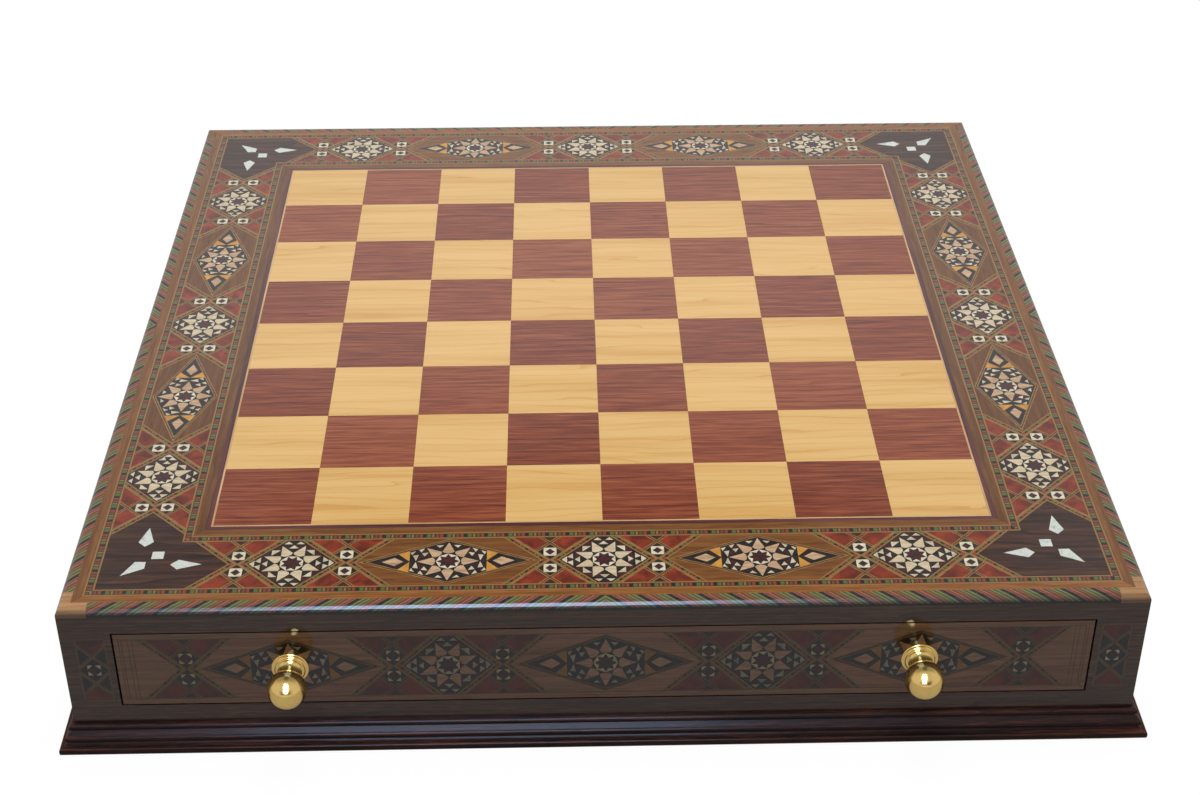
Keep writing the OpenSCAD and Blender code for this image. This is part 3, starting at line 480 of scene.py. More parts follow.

# %% [markdown]
# ## Woods of the border
# Walnut bands frame the marquetry and fill the ground round its lozenges. Inside the strip the walnut is
# stained darker. The bands on the left and right get painted shade, a darker share on those sides for
# how light falls on their grain.

# %% Walnut, corners and lines
pale_strip = wood("pale_strip", (0.42, 0.24, 0.09), (0.58, 0.36, 0.16), (0.66, 0.44, 0.22), run="side")
dark_strip = wood("dark_strip", (0.05, 0.012, 0.012), (0.10, 0.028, 0.026), (0.15, 0.045, 0.04), run="side")
# The walnut's share for the sides is painted shade on the left and right bands
walnut = wood("walnut", (0.13, 0.040, 0.006), (0.225, 0.080, 0.016), (0.33, 0.135, 0.036), run="side",
              line_gap=6, line_depth=0.1, figure=(40, 2.2), fibre=0.5, within=(STRIP_OUT, 0.72),
              painted_side_shade=0.72)
dress(pale_strip, "pale_line")
dress(dark_strip, "dark_line")
dress(walnut, "walnut_bands", "walnut_fields", "rear_corner_blocks")
# Its share for the sides is painted shade as well
corner_walnut = wood("corner_walnut", (0.016, 0.006, 0.004), (0.042, 0.015, 0.008),
                     (0.10, 0.038, 0.019), line_gap=8, figure=(40, 2.5), fibre=0.45, painted_side_shade=0.8)
dress(corner_walnut, "corner_fields")
corner_maple = wood("corner_maple", (0.28, 0.125, 0.04), (0.38, 0.19, 0.075), (0.46, 0.26, 0.115))
dress(corner_maple, "front_corner_blocks")
print("border:", [m.name for m in (pale_strip, dark_strip, walnut, corner_walnut, corner_maple)])

# %% [markdown]
# ## Woods of the case and the drawers
# The case is dark walnut, its drawer fronts a warmer one, and the plinth rosewood, which is sealed but
# hardly polished and so has little coat. Hidden boards are bare beech. The drawers' sides run from front
# to back, so their beech is turned to y.

# %% Case, plinth and drawer woods
case_walnut = wood("case_walnut", (0.022, 0.011, 0.007), (0.092, 0.042, 0.024), (0.24, 0.105, 0.05),
                   run="side", line_gap=9, line_depth=0.1, figure=(70, 1.6), fibre=0.55)
dress(case_walnut, "left_wall", "right_wall", "front_top_rail", "front_bottom_rail",
      "rear_top_rail", "rear_bottom_rail")
drawer_walnut = wood("drawer_walnut", (0.16, 0.065, 0.032), (0.30, 0.135, 0.068), (0.44, 0.21, 0.11),
                     line_gap=7, line_depth=0.1, figure=(60, 2.2), fibre=0.5)
dress(drawer_walnut, "front_drawer_face", "rear_drawer_face")
rosewood = wood("plinth_rosewood", (0.012, 0.006, 0.005), (0.050, 0.019, 0.012), (0.17, 0.050, 0.030),
                run="side", line_gap=5, line_depth=0.1, figure=(60, 1.4), fibre=0.5, coat=0.14,
                coat_roughness=0.16, bump=0.5)
dress(rosewood, "front_plinth", "rear_plinth", "left_plinth", "right_plinth")
beech = wood("beech", (0.42, 0.25, 0.13), (0.56, 0.36, 0.2), (0.64, 0.44, 0.27), coat=0.0,
             roughness=0.6, line_gap=7)
dress(beech, "top_board", "bottom_board", "drawer_divider", "glue_blocks")
for end in ("front", "rear"):
    dress(beech, *[end + "_drawer_" + piece for piece in ("back", "bottom", "dividers")])
beech_long = wood("beech_long", (0.42, 0.25, 0.13), (0.56, 0.36, 0.2), (0.64, 0.44, 0.27), run="y",
                  coat=0.0, roughness=0.6, line_gap=7)
for end in ("front", "rear"):
    dress(beech_long, end + "_drawer_left_side", end + "_drawer_right_side")
print("case:", [m.name for m in (case_walnut, drawer_walnut, rosewood, beech, beech_long)])

# %% [markdown]
# ## Bone, pearl and stained wood
# The petals are camel bone: cream in the stars and tanned in the lozenges, with faint lines along each
# sliver. The small squares and rings are whiter. Stars and lozenges take turns along a strip, so a cosine
# of the distance along it tells which of the two a petal is in. On the upright faces the inlay gets
# painted shade, a darker colour for the weaker light there.

# %% Recipes for bone and small woods
MOTIF_PITCH = 62.6 * MM
# Below this depth under the top the inlays are on an upright face and take painted shade of this dark
# colour
FACE_BELOW = 2 * MM
FACE_PAINTED_SHADE = (0.012, 0.008, 0.007, 1)
BONE_PATCH, BONE_STRETCH = 1.2, 6


def noisy_colour(tree, first, second, patch, stretch):
    """A colour that wavers between two, in patches of so many mm, stretched along x."""
    x, y, z = object_axes(tree)
    noise = stretched_noise(tree, joined(tree, x, y, z), patch * MM * stretch, patch * MM, 4.0, 0.6)
    return ramp(tree, noise, [(0.35, first), (0.65, second)])


def speckled(name, first, second, patch, roughness=0.45, coat=1.0, coat_roughness=0.04, stretch=1.0,
             face=1.0):
    """A plain material that wavers between two colours, with painted shade by a share on the faces
    of the case.
    """
    mat, tree, bsdf = blank_material(name)
    colour = noisy_colour(tree, first, second, patch, stretch)
    # Painted shade: on the upright faces, below the top, the colour is darkened by a share
    if face < 1.0:
        z = object_axes(tree)[2]
        painted_shade_mask = maths(tree, "LESS_THAN", z, TOP - FACE_BELOW)
        colour = blend(tree, maths(tree, "MULTIPLY", painted_shade_mask, 1 - face), colour, FACE_PAINTED_SHADE)
    tree.links.new(colour, bsdf.inputs["Base Color"])
    lacquer(bsdf, roughness, coat, coat_roughness)
    return mat


def petal_bone(name, star, lozenge, face):
    """Bone of one colour in the stars and of another in the lozenges on the top, and a darker bone on
    the faces, which is painted shade."""
    mat, tree, bsdf = blank_material(name)
    along, out, z = round_the_case(tree)
    wave = maths(tree, "COSINE", maths(tree, "MULTIPLY", along, math.pi / MOTIF_PITCH))
    on_lozenge = maths(tree, "LESS_THAN", wave, 0.0)
    colour = blend(tree, on_lozenge, noisy_colour(tree, *star, BONE_PATCH, BONE_STRETCH),
                   noisy_colour(tree, *lozenge, BONE_PATCH, BONE_STRETCH))
    # Painted shade: on the upright faces the bone takes its darker colours
    painted_shade_mask = maths(tree, "LESS_THAN", z, TOP - FACE_BELOW)
    colour = blend(tree, painted_shade_mask, colour, noisy_colour(tree, *face, BONE_PATCH, BONE_STRETCH))
    tree.links.new(colour, bsdf.inputs["Base Color"])
    lacquer(bsdf, 0.45, 1.0, 0.04)
    return mat


print("motifs repeat every", round(2 * MOTIF_PITCH / MM, 1), "mm")

# %% [markdown]
# ## The inlays' own colours
# Each material of the marquetry is one call: two colours close to each other and the size of its patches.

# %% Inlay materials
blackwood = speckled("blackwood", (0.010, 0.008, 0.007), (0.026, 0.019, 0.016), 3)
# The face colours of the bone are painted shade for the upright faces
bone = petal_bone("bone", star=((0.50, 0.38, 0.24), (0.66, 0.55, 0.37)),
                  lozenge=((0.38, 0.23, 0.12), (0.60, 0.40, 0.25)),
                  face=((0.34, 0.17, 0.09), (0.52, 0.29, 0.17)))
white_bone = speckled("white_bone", (0.54, 0.47, 0.32), (0.72, 0.67, 0.51), 2)
# Painted shade: a darker copy of the white bone, for the rings on the upright drawer fronts
shaded_white_bone = speckled("shaded_white_bone", (0.48, 0.38, 0.20), (0.62, 0.52, 0.30), 2)
# The face shares below are painted shade on the upright faces
sliver_bone = speckled("sliver_bone", (0.44, 0.36, 0.24), (0.66, 0.58, 0.42), 3, face=0.62)
dark_red = speckled("dark_red", (0.030, 0.010, 0.012), (0.07, 0.016, 0.016), 2)
padauk_tile = speckled("padauk_tile", (0.10, 0.014, 0.006), (0.27, 0.036, 0.011), 7, face=0.75)
ochre = speckled("ochre", (0.46, 0.20, 0.03), (0.62, 0.30, 0.05), 4, face=0.6)
line_wood = speckled("line_wood", (0.20, 0.10, 0.03), (0.32, 0.17, 0.055), 2, stretch=3, face=0.6)
line_dark = speckled("line_dark", (0.04, 0.018, 0.007), (0.08, 0.036, 0.014), 2)
print("inlays:", [m.name for m in (blackwood, bone, white_bone, dark_red, padauk_tile, ochre, line_wood)])

# %% [markdown]
# ## Mother of pearl
# The corners hold mother of pearl, whose colour turns from green to pink. On the shell this comes from
# thin layers; here a slow, twisted noise runs through four pale colours. With it, every inlay of the
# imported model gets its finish.

# %% Pearl, and the finishes laid on the inlays


def pearl(name):
    mat, tree, bsdf = blank_material(name)
    x, y, z = object_axes(tree)
    swirl = stretched_noise(tree, joined(tree, x, y, z), 5 * MM, 3 * MM, 3.0, 1.5)
    colour = ramp(tree, swirl, [(0.30, (0.40, 0.50, 0.44)), (0.70, (0.56, 0.52, 0.58)),
                                (0.42, (0.62, 0.68, 0.60)), (0.56, (0.70, 0.72, 0.66))])
    tree.links.new(colour, bsdf.inputs["Base Color"])
    bsdf.inputs["Metallic"].default_value = 0.15
    lacquer(bsdf, 0.25, 1.0, 0.04)
    return mat


dress(blackwood, "blackwood_tiles", "front_drawer_blackwood", "rear_drawer_blackwood")
dress(bone, "bone_inlays", "front_drawer_bone", "rear_drawer_bone")
dress(white_bone, "white_inlays")
dress(dark_red, "rosewood_inlays")
dress(padauk_tile, "padauk_tiles", "front_drawer_padauk", "rear_drawer_padauk")
dress(ochre, "ochre_tips")
dress(line_wood, "line_inlays", "front_drawer_lines", "rear_drawer_lines", "mosaic_bands")
dress(pearl("pearl"), "pearl_inlays")
felt = speckled("felt", (0.16, 0.008, 0.014), (0.24, 0.014, 0.022), 1.5, roughness=0.95, coat=0.0)
dress(felt, "front_drawer_felt", "rear_drawer_felt")
print("other inlays:", [m.name for m in (shaded_white_bone, sliver_bone, line_dark, felt)])

# %% [markdown]
# ## Mosaic stringing
# The narrow bands are sawn from a glued stick of coloured slivers, so the same run of blocks repeats
# every 8.3 mm between dark and pale lines. A colour ramp with hard steps, read by the distance along
# the band, draws the blocks.

# %% Mosaic
BLACK, GREEN, TAN = (0.018, 0.016, 0.018), (0.085, 0.125, 0.03), (0.24, 0.13, 0.045)
RED, BROWN, GOLD = (0.26, 0.046, 0.022), (0.14, 0.06, 0.024), (0.28, 0.14, 0.04)
DARK, PALE_GREEN, SALMON = (0.045, 0.025, 0.016), (0.19, 0.24, 0.10), (0.38, 0.17, 0.10)


def blocks(*run):
    """Stops of a ramp from (width in mm, colour) pairs, and the whole length."""
    total, at, stops = sum(width for width, _ in run), 0.0, []
    for width, colour in run:
        stops.append((at / total, colour))
        at += width
    return stops, total * MM


RUN, RUN_LENGTH = blocks((1.1, RED), (0.3, DARK), (1.4, BLACK), (1.7, GREEN), (0.5, DARK), (0.9, TAN),
                         (0.6, DARK), (1.2, BROWN), (0.6, DARK))


def mosaic(name, along_across, core, dark):
    """Blocks along a band up to core from its middle, a dark line up to dark, and pale beyond."""
    mat, tree, bsdf = blank_material(name)
    along, across = along_across(tree)
    stones = ramp(tree, maths(tree, "FRACT", maths(tree, "DIVIDE", along, RUN_LENGTH)), RUN, "CONSTANT")
    inner = blend(tree, maths(tree, "GREATER_THAN", across, core), stones, (*DARK, 1))
    colour = blend(tree, maths(tree, "GREATER_THAN", across, dark), inner, (*GOLD, 1))
    tree.links.new(colour, bsdf.inputs["Base Color"])
    lacquer(bsdf, 0.5, 1.0, 0.04)
    return mat


def round_the_board(tree):
    """Along each side of the board, and the distance from the middle of the nearer stringing."""
    along, out, z = round_the_case(tree)
    inner = maths(tree, "ABSOLUTE", maths(tree, "SUBTRACT", out, STRIP_OUT - STRIP - STRINGING / 2))
    outer = maths(tree, "ABSOLUTE", maths(tree, "SUBTRACT", out, STRIP_OUT + STRINGING / 2))
    return along, maths(tree, "MINIMUM", inner, outer)


def along_own_map(tree):
    """Along and across a band that carries its own map, in metres."""
    own = tree.nodes.new("ShaderNodeUVMap")
    split = add(tree, "ShaderNodeSeparateXYZ", {0: own.outputs[0]})
    return split.outputs[0], maths(tree, "ABSOLUTE", split.outputs[1])


dress(mosaic("stringing_mosaic", round_the_board, 1.0 * MM, 1.3 * MM), "mosaic_stringing")
band_mosaic = mosaic("band_mosaic", along_own_map, 0.45 * MM, 0.55 * MM)
print("mosaic repeats every", round(RUN_LENGTH / MM, 1), "mm")

# %% [markdown]
# ## Rope edging
# The rounded edge is built up from slanting slivers, like a twisted rope. The slant turns over at the
# middle of each side. The distance over the edge, out and then down, is added to the distance along it,
# which leans the stripes on the top and on the face alike.

# %% Rope edging
ROPE, ROPE_LENGTH = blocks((2.2, BLACK), (0.4, SALMON), (0.4, DARK), (1.3, RED), (0.5, SALMON), (0.5, DARK),
                           (1.3, BROWN), (0.4, TAN), (1.4, BROWN), (0.5, PALE_GREEN), (0.8, GREEN),
                           (0.3, DARK), (0.8, GREEN), (0.5, PALE_GREEN), (0.6, BROWN))
# Painted shade, tinted blue: below this depth under the top the rope's stripes are darkened by this share
ROPE_SHADE_DEPTH = 2.3 * MM
ROPE_SHADE_SHARE = 0.94
ROPE_SHADE_TINT = (0.05, 0.05, 0.09, 1)


def rope_finish(name, lean):
    """Stripes that lean by so many metres along for each metre over the edge, with bluish painted
    shade low down.
    """
    mat, tree, bsdf = blank_material(name)
    along, out, z = round_the_case(tree)
    over = maths(tree, "ADD", maths(tree, "SUBTRACT", out, ROPE_FROM), maths(tree, "SUBTRACT", TOP, z))
    slanted = maths(tree, "SUBTRACT", maths(tree, "ABSOLUTE", along), maths(tree, "MULTIPLY", over, lean))
    turn = maths(tree, "FRACT", maths(tree, "DIVIDE", slanted, ROPE_LENGTH))
    stripes = ramp(tree, turn, ROPE, "CONSTANT")
    # Painted shade on the lower, forward-facing part of the rope edging
    low = maths(tree, "GREATER_THAN", maths(tree, "SUBTRACT", TOP, z), ROPE_SHADE_DEPTH)
    mix = tree.nodes.new("ShaderNodeMix")
    mix.data_type = "RGBA"
    mix.blend_type = "MULTIPLY"
    tree.links.new(maths(tree, "MULTIPLY", low, ROPE_SHADE_SHARE), mix.inputs[0])
    tree.links.new(stripes, mix.inputs[6])
    mix.inputs[7].default_value = ROPE_SHADE_TINT
    tree.links.new(mix.outputs[2], bsdf.inputs["Base Color"])
    lacquer(bsdf, 0.45, 1.0, 0.2)
    return mat


dress(rope_finish("rope", lean=1.1), "rope_edging")
print("rope repeats every", round(ROPE_LENGTH / MM, 1), "mm")

# %% [markdown]
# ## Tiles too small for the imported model
# Between the petals sit slivers of white and dark red, every pale line of the lattice has a dark core,
# and the diagonal bands are mosaic. They are laid on the tiles that carry them, a fiftieth of a
# millimetre proud, as thin prisms. Each motif is drawn once, flat, round its own middle, and then laid
# in every place where it occurs.

# %% Laying tiles
PROUD = 0.02 * MM
SUNK = 0.5 * MM
KNOT_OFFSET = 21.7 * MM
LAST_KNOT = 3 * MOTIF_PITCH - KNOT_OFFSET
STARS_TOP = (-2 * MOTIF_PITCH, 0, 2 * MOTIF_PITCH)
LOZENGES_TOP = (-MOTIF_PITCH, MOTIF_PITCH)
KNOTS_TOP = [s + side * KNOT_OFFSET for s in STARS_TOP for side in (-1, 1)]
KNOTS_FACE = [s + side * KNOT_OFFSET for s in LOZENGES_TOP for side in (-1, 1)]
KNOTS_FACE += [-LAST_KNOT, LAST_KNOT]


def lay(bm, outlines, place, along=None):
    """Lays flat outlines as thin prisms at a place; along=(start, direction) maps a band."""
    uv = bm.loops.layers.uv.verify()
    faces, before = [], set(bm.verts)
    for outline in outlines:
        faces.append(bm.faces.new([bm.verts.new((x * MM, y * MM, PROUD)) for x, y in outline]))
    grown = bmesh.ops.extrude_face_region(bm, geom=faces)
    low = [v for v in grown["geom"] if isinstance(v, bmesh.types.BMVert)]
    bmesh.ops.translate(bm, verts=low, vec=(0, 0, -SUNK))
    new = [v for v in bm.verts if v not in before]
    if along:
        start, direction = Vector(along[0]) * MM, Vector(along[1]).normalized()
        for face in {f for v in new for f in v.link_faces}:
            for loop in face.loops:
                away = loop.vert.co.xy - start
                loop[uv].uv = (away.dot(direction), direction.cross(away))
    bmesh.ops.transform(bm, matrix=place, verts=new)


def top_places(spots):
    """Places on the four sides of the top, for spots along a strip."""
    for side in range(4):
        turn = Matrix.Rotation(math.radians(90 * side), 4, "Z")
        for spot in spots:
            yield turn @ Matrix.Translation((spot, -STRIP_MID, TOP))


def face_places(spots, turns):
    """Places on upright faces, each turned round the box by an angle in degrees."""
    upright = Matrix.Rotation(math.radians(90), 4, "X")
    for angle in turns:
        turn = Matrix.Rotation(math.radians(angle), 4, "Z")
        for spot in spots:
            yield turn @ Matrix.Translation((spot, -CASE_HALF, FACE_MID)) @ upright


def finished(bm, name, material, body, replaced=()):
    """Makes the mesh a piece that rides on a body, and hides the nodes that it stands in for."""
    bmesh.ops.recalc_face_normals(bm, faces=bm.faces)
    mesh = bpy.data.meshes.new(name)
    bm.to_mesh(mesh)
    bm.free()
    mesh.materials.append(material)
    piece = bpy.data.objects.new(name, mesh)
    bpy.context.scene.collection.objects.link(piece)
    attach(piece, body)
    if replaced:
        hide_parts(*replaced)
    return piece


print("knots on a strip of the top:", len(KNOTS_TOP), "and on a face:", len(KNOTS_FACE))

# %% [markdown]
# ## Drawing with symmetry
# Every motif repeats itself: a lozenge four times by mirrors, a star eight times by turns. So only one
# corner of each is drawn, and these helpers make the rest.

# %% Mirrors, turns and bars


def four_ways(*outlines):
    """Outlines and their mirror images left, down and both."""
    return [[(sx * x, sy * y) for x, y in outline]
            for outline in outlines for sx in (1, -1) for sy in (1, -1)]


def turned(outline, angle):
    """An outline turned round the middle by an angle in degrees."""
    c, s = math.cos(math.radians(angle)), math.sin(math.radians(angle))
    return [(c * x - s * y, s * x + c * y) for x, y in outline]


def polar(radius, angle):
    return radius * math.cos(math.radians(angle)), radius * math.sin(math.radians(angle))


def bar(start, end, width=0.45):
    """A thin straight sliver between two points."""
    a, b = Vector(start), Vector(end)
    side = (b - a).normalized().orthogonal() * width / 2
    return [tuple(a - side), tuple(b - side), tuple(b + side), tuple(a + side)]


print("one corner gives", len(four_ways([(0, 0), (1, 0), (0, 1)])), "tiles")

# %% [markdown]
# ## The slivers of the stars, lozenges and knots
# A cutter saws the slivers to fit between the petals: white ones with their points out, and dark red ones
# beside them. The root of each petal reaches in to the ring. All are drawn in millimetres from the middle
# of the motif. A knot's bands are given with the start and direction that their mosaic follows.

# %% Outlines of the slivers
PETAL_ROOT = [(6.35, -2.45), (5.45, -1.6), (5.2, 0), (5.45, 1.6), (6.35, 2.45)]
star_white = four_ways([(0.7, 12.6), (4.1, 12.6), (2.4, 14.3)], [(12.5, 4.0), (12.5, 0.6), (14.8, 1.7)],
                       [(5.1, 8.6), (8.6, 8.6), (8.6, 5.1)])
for side in (1, -1):
    star_white += [[(-2.0, 9.8 * side), (2.0, 9.8 * side), (0, 11.9 * side)],
                   [(9.7 * side, -1.8), (9.7 * side, 1.8), (11.8 * side, 0)],
                   [(14.9 * side, -2.2), (14.9 * side, 2.2), (17.0 * side, 0)]]
star_red = four_ways([(5.0, 8.85), (4.8, 11.3), (6.1, 11.3), (8.5, 8.85)],
                     [(8.85, 5.0), (11.3, 4.8), (11.3, 6.1), (8.85, 8.5)],
                     [(4.25, 11.2), (2.1, 10.0), (0.2, 11.95)], [(11.2, 4.25), (9.95, 2.0), (11.9, 0.25)])
lozenge_white = four_ways([(2.0, 10.6), (5.0, 10.4), (3.7, 8.9)], [(8.1, 5.8), (10.7, 5.3), (9.5, 3.2)],
                          [(9.6, 8.6), (11.9, 7.6), (10.9, 5.9)], [(12.9, 0.3), (11.9, 4.4), (14.2, 3.9)],
                          [(13.2, 6.7), (15.3, 5.9), (14.6, 4.2)])
lozenge_red = four_ways([(9.7, 3.0), (11.0, 5.2), (12.3, 0.8)], [(9.0, 8.3), (8.3, 6.2), (10.6, 5.8)])
star_roots = [turned(PETAL_ROOT, 22.5 + 45 * k) for k in range(8)]
lozenge_roots = [turned(PETAL_ROOT, 45 * k) for k in range(8)]
L_FRAME, H_FRAME = 34.02, 13.89
lozenge_core = four_ways(bar((L_FRAME, 0), (0, H_FRAME)))
CROSSING, EDGE = 11.24, 15.0
knot_core = four_ways(bar((0.1, CROSSING - 0.1), (5.4, CROSSING - 5.4)),
                      bar((0.1, CROSSING + 0.1), (EDGE - CROSSING, EDGE)))
BAND = (0.474, 3.818)
knot_bands = []
for sx in (1, -1):
    for sy in (1, -1):
        arm = [(BAND[0], 0), (BAND[0] + EDGE, EDGE), (BAND[1] + EDGE, EDGE), (BAND[1], 0)]
        knot_bands.append(([(sx * x, sy * y) for x, y in arm], ((sx * sum(BAND) / 2, 0), (sx, sy))))
print("white", len(star_white), len(lozenge_white), "red", len(star_red), len(lozenge_red))

# %% [markdown]
# ## What only the drawers need
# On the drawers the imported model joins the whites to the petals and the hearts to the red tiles, so
# there the rings, squares, cores and ochre tips are laid over them as tiles of their own. Three thin
# lines also cross each end of a drawer front.

# %% Outlines for the drawers
RING, TIP, VALLEY = 4.9, 4.7, 2.91


def rosette(turn):
    """White pieces round a dark star with eight points, and the star."""
    whites, star = [], []
    for i in range(8):
        a, b, between = turn + 45 * i, turn + 45 * (i + 1), turn + 45 * i + 22.5
        valley = polar(VALLEY, between)
        whites.append([polar(RING, a), polar(RING, b), polar(TIP, b), valley, polar(TIP, a)])
        star += [polar(TIP, a), polar(VALLEY, between)]
    return whites, [star]


def on_knot(outlines):
    """Outlines for the two small squares of a knot, one above the other."""
    return [[(x, y + side * 5.3) for x, y in outline] for outline in outlines for side in (1, -1)]


star_ring, star_heart = rosette(22.5)
lozenge_ring, lozenge_heart = rosette(0)
knot_white = on_knot(four_ways([(0.5, 2.6), (2.13, 2.6), (2.6, 2.13), (2.6, 0.5), (1.55, 1.55)]))
SQUARE_HEART = [(0.5, 2.6), (1.55, 1.55), (2.6, 0.5), (2.6, -0.5), (1.55, -1.55), (0.5, -2.6),
                (-0.5, -2.6), (-1.55, -1.55), (-2.6, -0.5), (-2.6, 0.5), (-1.55, 1.55), (-0.5, 2.6)]
STILE_X = 202.6 * MM
knot_red = on_knot([SQUARE_HEART])
knot_red += [[(0, 12.3 * s), (2.7, 15 * s), (-2.7, 15 * s)] for s in (1, -1)]
END_LINE_X, END_LINE_TALL, END_LINE_WIDE = (186.2, 187.8, 191.4), 16, 0.4
end_lines = [bar((side * x, -END_LINE_TALL), (side * x, END_LINE_TALL), END_LINE_WIDE)
             for side in (1, -1) for x in END_LINE_X]
ochre_tips = four_ways([(15.5, 0.21), (15.5, 6.75), (20, 4.91)])
print("rings", len(star_ring), len(lozenge_ring), "end lines", len(end_lines))

# %% [markdown]
# ## Laying the slivers on every strip
# The top has four strips and each upright face one. On the faces stars and lozenges swap places. All
# slivers of one wood on one body become one piece, which rides with that body, so a drawer takes its own
# marquetry along. The heart of the small square on each stile belongs to the case.

# %% Which tiles go on which motif
FACES_OF = {"case": (90, -90), "front_drawer": (0,), "rear_drawer": (180,)}


def tiles_of(drawer):
    """Name, finish, and the outlines for a star, for a lozenge and for a knot."""
    red = (star_red, lozenge_red, [])
    if drawer:
        red = (star_red + star_heart, lozenge_red + lozenge_heart, knot_red)
    tiles = [("white_slivers", sliver_bone, star_white, lozenge_white, []),
             ("red_slivers", dark_red, *red),
             ("line_cores", line_dark, [], lozenge_core, knot_core),
             ("petal_roots", bone, star_roots, lozenge_roots, [])]
    if drawer:
        tiles += [("end_lines", line_wood, [], [], []),
                  ("ochre_tips", ochre, [], ochre_tips, []),
                  ("white_rings", shaded_white_bone, star_ring, lozenge_ring, knot_white)]
    return tiles


def strip_places(body, top_spots, face_spots):
    """Places on the top, for the case only, and then on the body's upright faces."""
    tops = [*top_places(top_spots)] if body == "case" else []
    return tops + [*face_places(face_spots, FACES_OF[body])]


print("kinds of tile on the case:", len(tiles_of(False)), "and on a drawer:", len(tiles_of(True)))

# %% [markdown]
# ## One body after the other
# The motifs are laid first, then what a motif doesn't carry, and last the bands of the knots, which need
# a map of their own so that their mosaic runs along the diagonal.

# %% Lay the slivers
for body in FACES_OF:
    for name, material, for_star, for_lozenge, for_knot in tiles_of(body != "case"):
        bm = bmesh.new()
        for outlines, top_spots, face_spots in ((for_star, STARS_TOP, LOZENGES_TOP),
                                                (for_lozenge, LOZENGES_TOP, STARS_TOP),
                                                (for_knot, KNOTS_TOP, KNOTS_FACE)):
            for place in strip_places(body, top_spots, face_spots) if outlines else ():
                lay(bm, outlines, place)
        if name == "end_lines":
            for place in face_places((0,), FACES_OF[body]):
                lay(bm, end_lines, place)
        if name == "red_slivers" and body == "case":
            for place in face_places((-STILE_X, STILE_X), (0, 180)):
                lay(bm, [SQUARE_HEART], place)
        piece = finished(bm, body + "_" + name, material, body)
        print(piece.name, len(piece.data.polygons), "faces")
    bm = bmesh.new()
    for place in strip_places(body, KNOTS_TOP, KNOTS_FACE):
        for outline, along in knot_bands:
            lay(bm, [outline], place, along)
    piece = finished(bm, body + "_band_mosaic", band_mosaic, body)
    print(piece.name, len(piece.data.polygons), "faces")

# %% [markdown]
# ## Softened boards inside the drawers
# A joiner takes the sharp edges off the boards that a hand meets in a drawer. A Bevel modifier on the
# packed board would follow its loose triangles, so each board is copied, its mesh is joined up into whole
# flat faces, and only the real edges are rounded, by less than half a millimetre.

# %% Softened boards
SAME_POINT = 1e-6
FLAT_BELOW, SHARP_ABOVE = math.radians(1), math.radians(30)
SOFT_EDGE = 0.4 * MM


def softened(name, material, body, width):
    """A copy of a packed board with rounded edges, in its place."""
    bm = bmesh.new()
    bm.from_mesh(nodes[name].data)
    bmesh.ops.remove_doubles(bm, verts=bm.verts, dist=SAME_POINT)
    bmesh.ops.dissolve_limit(bm, angle_limit=FLAT_BELOW, verts=bm.verts, edges=bm.edges)
    sharp = [e for e in bm.edges if len(e.link_faces) == 2 and e.calc_face_angle() > SHARP_ABOVE]
    bmesh.ops.bevel(bm, geom=sharp, offset=width, segments=2, profile=0.5, material=-1,
                    affect="EDGES", clamp_overlap=True)
    return finished(bm, name + "_softened", material, body, [name])


for end in ("front", "rear"):
    body = end + "_drawer"
    for piece, material in (("left_side", beech_long), ("right_side", beech_long), ("back", beech),
                            ("dividers", beech)):
        board = softened(body + "_" + piece, material, body, SOFT_EDGE)
        print(board.name, len(board.data.polygons), "faces")

# %% [markdown]
# ## Brass knobs
# A knob is turned from brass: a flat rosette with a step, a flared neck and a ball. The outline is spun
# round its own axis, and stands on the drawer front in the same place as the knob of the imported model.

# %% Brass and steel


def metal(name, colour, roughness, wander):
    """A metal whose colour wavers down to a share of itself, as rubbed metal does."""
    mat, tree, bsdf = blank_material(name)
    worn = noisy_colour(tree, scaled_colour(colour, wander), colour, 4, 1)
    tree.links.new(worn, bsdf.inputs["Base Color"])
    bsdf.inputs["Metallic"].default_value = 1.0
    bsdf.inputs["Roughness"].default_value = roughness
    return mat


brass = metal("brass", (0.88, 0.60, 0.20), 0.18, 0.92)
steel = metal("steel", (0.55, 0.55, 0.56), 0.3, 0.85)
dress(steel, "front_knob_screws", "rear_knob_screws")
print("metals:", brass.name, steel.name)

# %% [markdown]
# ## The outline of a knob
# Half of the knob's section is drawn from the axis at the drawer front, out over the rosette's rim and
# step, in along the flared neck, and round the ball to its tip. Rims and ball are arcs, so they stay true
# circles at any number of steps.

# %% Outline of a knob
# Radii of the rosette, its step, the neck and the ball, and how far out the ball's middle and the step lie
ROSETTE, STEP, NECK, BALL, BALL_OUT, THICK = 7.5, 5.9, 3.75, 7.8, 13.2, 2.0
RIM = THICK / 4
RIM_STEPS, STEP_STEPS, BALL_STEPS, FLARE_EVERY = 8, 6, 36, 9


def arc_points(centre, radius, start, end, steps):
    """Points of an arc between two angles in degrees."""
    return [(centre[0] + radius * math.cos(math.radians(start + (end - start) * i / steps)),
             centre[1] + radius * math.sin(math.radians(start + (end - start) * i / steps)))
            for i in range(steps + 1)]


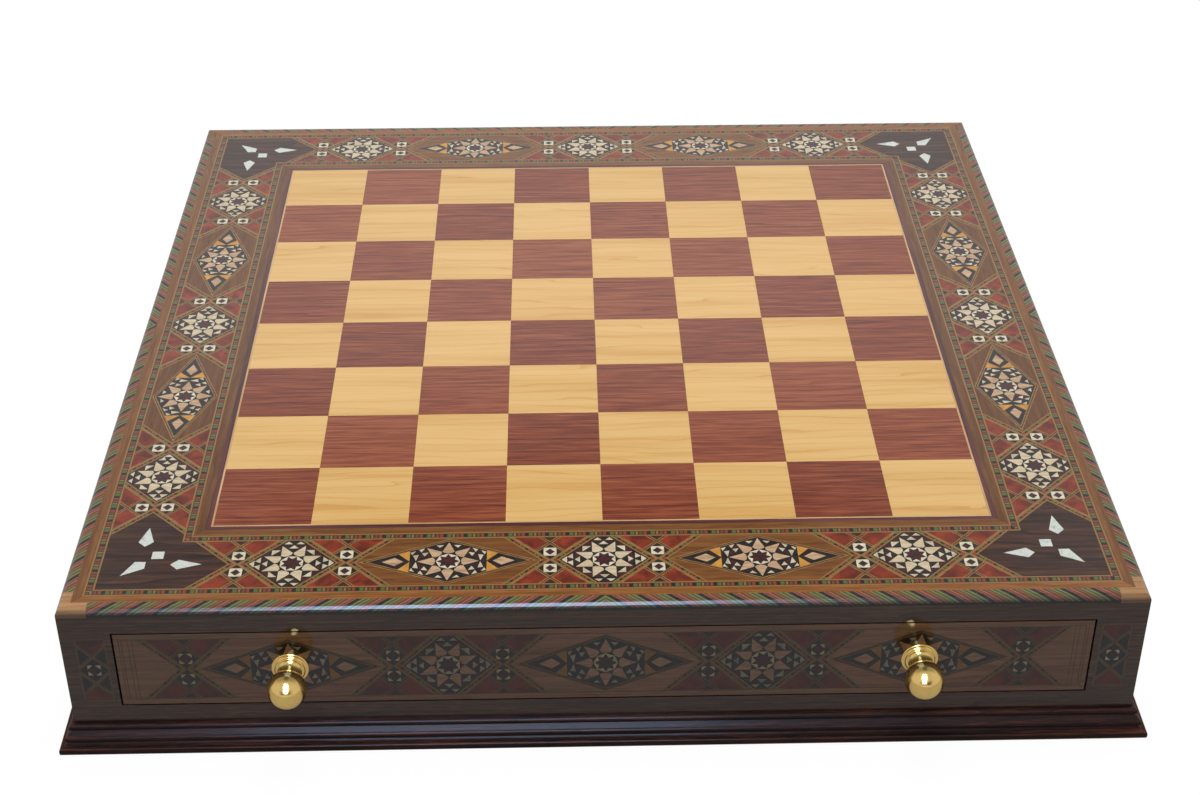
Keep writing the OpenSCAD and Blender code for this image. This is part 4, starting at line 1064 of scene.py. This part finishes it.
def knob_outline():
    """Radius and distance from the drawer front, from the axis at the face to the tip of the ball."""
    meet = math.acos(NECK / BALL)
    start = BALL_OUT - BALL * math.sin(meet)
    flare = STEP - RIM - NECK
    neck = [(NECK + flare * (1 - math.sin(math.radians(t))),
             THICK + (start - THICK) * (1 - math.cos(math.radians(t))))
            for t in range(FLARE_EVERY, 91, FLARE_EVERY)]
    return ([(0, 0)] + arc_points((ROSETTE - RIM, RIM), RIM, -90, 90, RIM_STEPS) + [(STEP, 2 * RIM)]
            + arc_points((STEP - RIM, THICK - RIM), RIM, 0, 90, STEP_STEPS) + neck
            + arc_points((0, BALL_OUT), BALL, -math.degrees(meet), 90, BALL_STEPS)[1:])


print("knob outline", len(knob_outline()), "points, tip", BALL_OUT + BALL, "mm out")

# %% [markdown]
# ## Turning the knobs
# A lathe turns the outline, and so does the spin operator. A full spin merges its last ring with its
# first, and the points on the axis are then merged into poles, which closes the shape.

# %% Spun knobs
SPIN_STEPS = 96
SAME_POLE = 1e-7


def spun(bm, outline, place):
    """Spins an outline of (radius, height) round the z axis and puts the closed shape in a place."""
    before = set(bm.verts)
    line = [bm.verts.new((r * MM, 0, h * MM)) for r, h in outline]
    edges = [bm.edges.new(pair) for pair in zip(line, line[1:])]
    bmesh.ops.spin(bm, geom=line + edges, cent=(0, 0, 0), axis=(0, 0, 1), angle=math.tau,
                   steps=SPIN_STEPS, use_merge=True)
    new = [v for v in bm.verts if v not in before]
    bmesh.ops.remove_doubles(bm, verts=new, dist=SAME_POLE)
    new = [v for v in bm.verts if v not in before]
    bmesh.ops.transform(bm, matrix=place, verts=new)


for end, turn in (("front", 0), ("rear", 180)):
    bm = bmesh.new()
    for place in face_places((-2 * MOTIF_PITCH, 2 * MOTIF_PITCH), (turn,)):
        spun(bm, knob_outline(), place)
    knobs = finished(bm, end + "_brass_knobs", brass, end + "_drawer", [end + "_drawer_knobs"])
    for face in knobs.data.polygons:
        face.use_smooth = True
    print(knobs.name, [round(v / MM, 1) for v in knobs.dimensions])
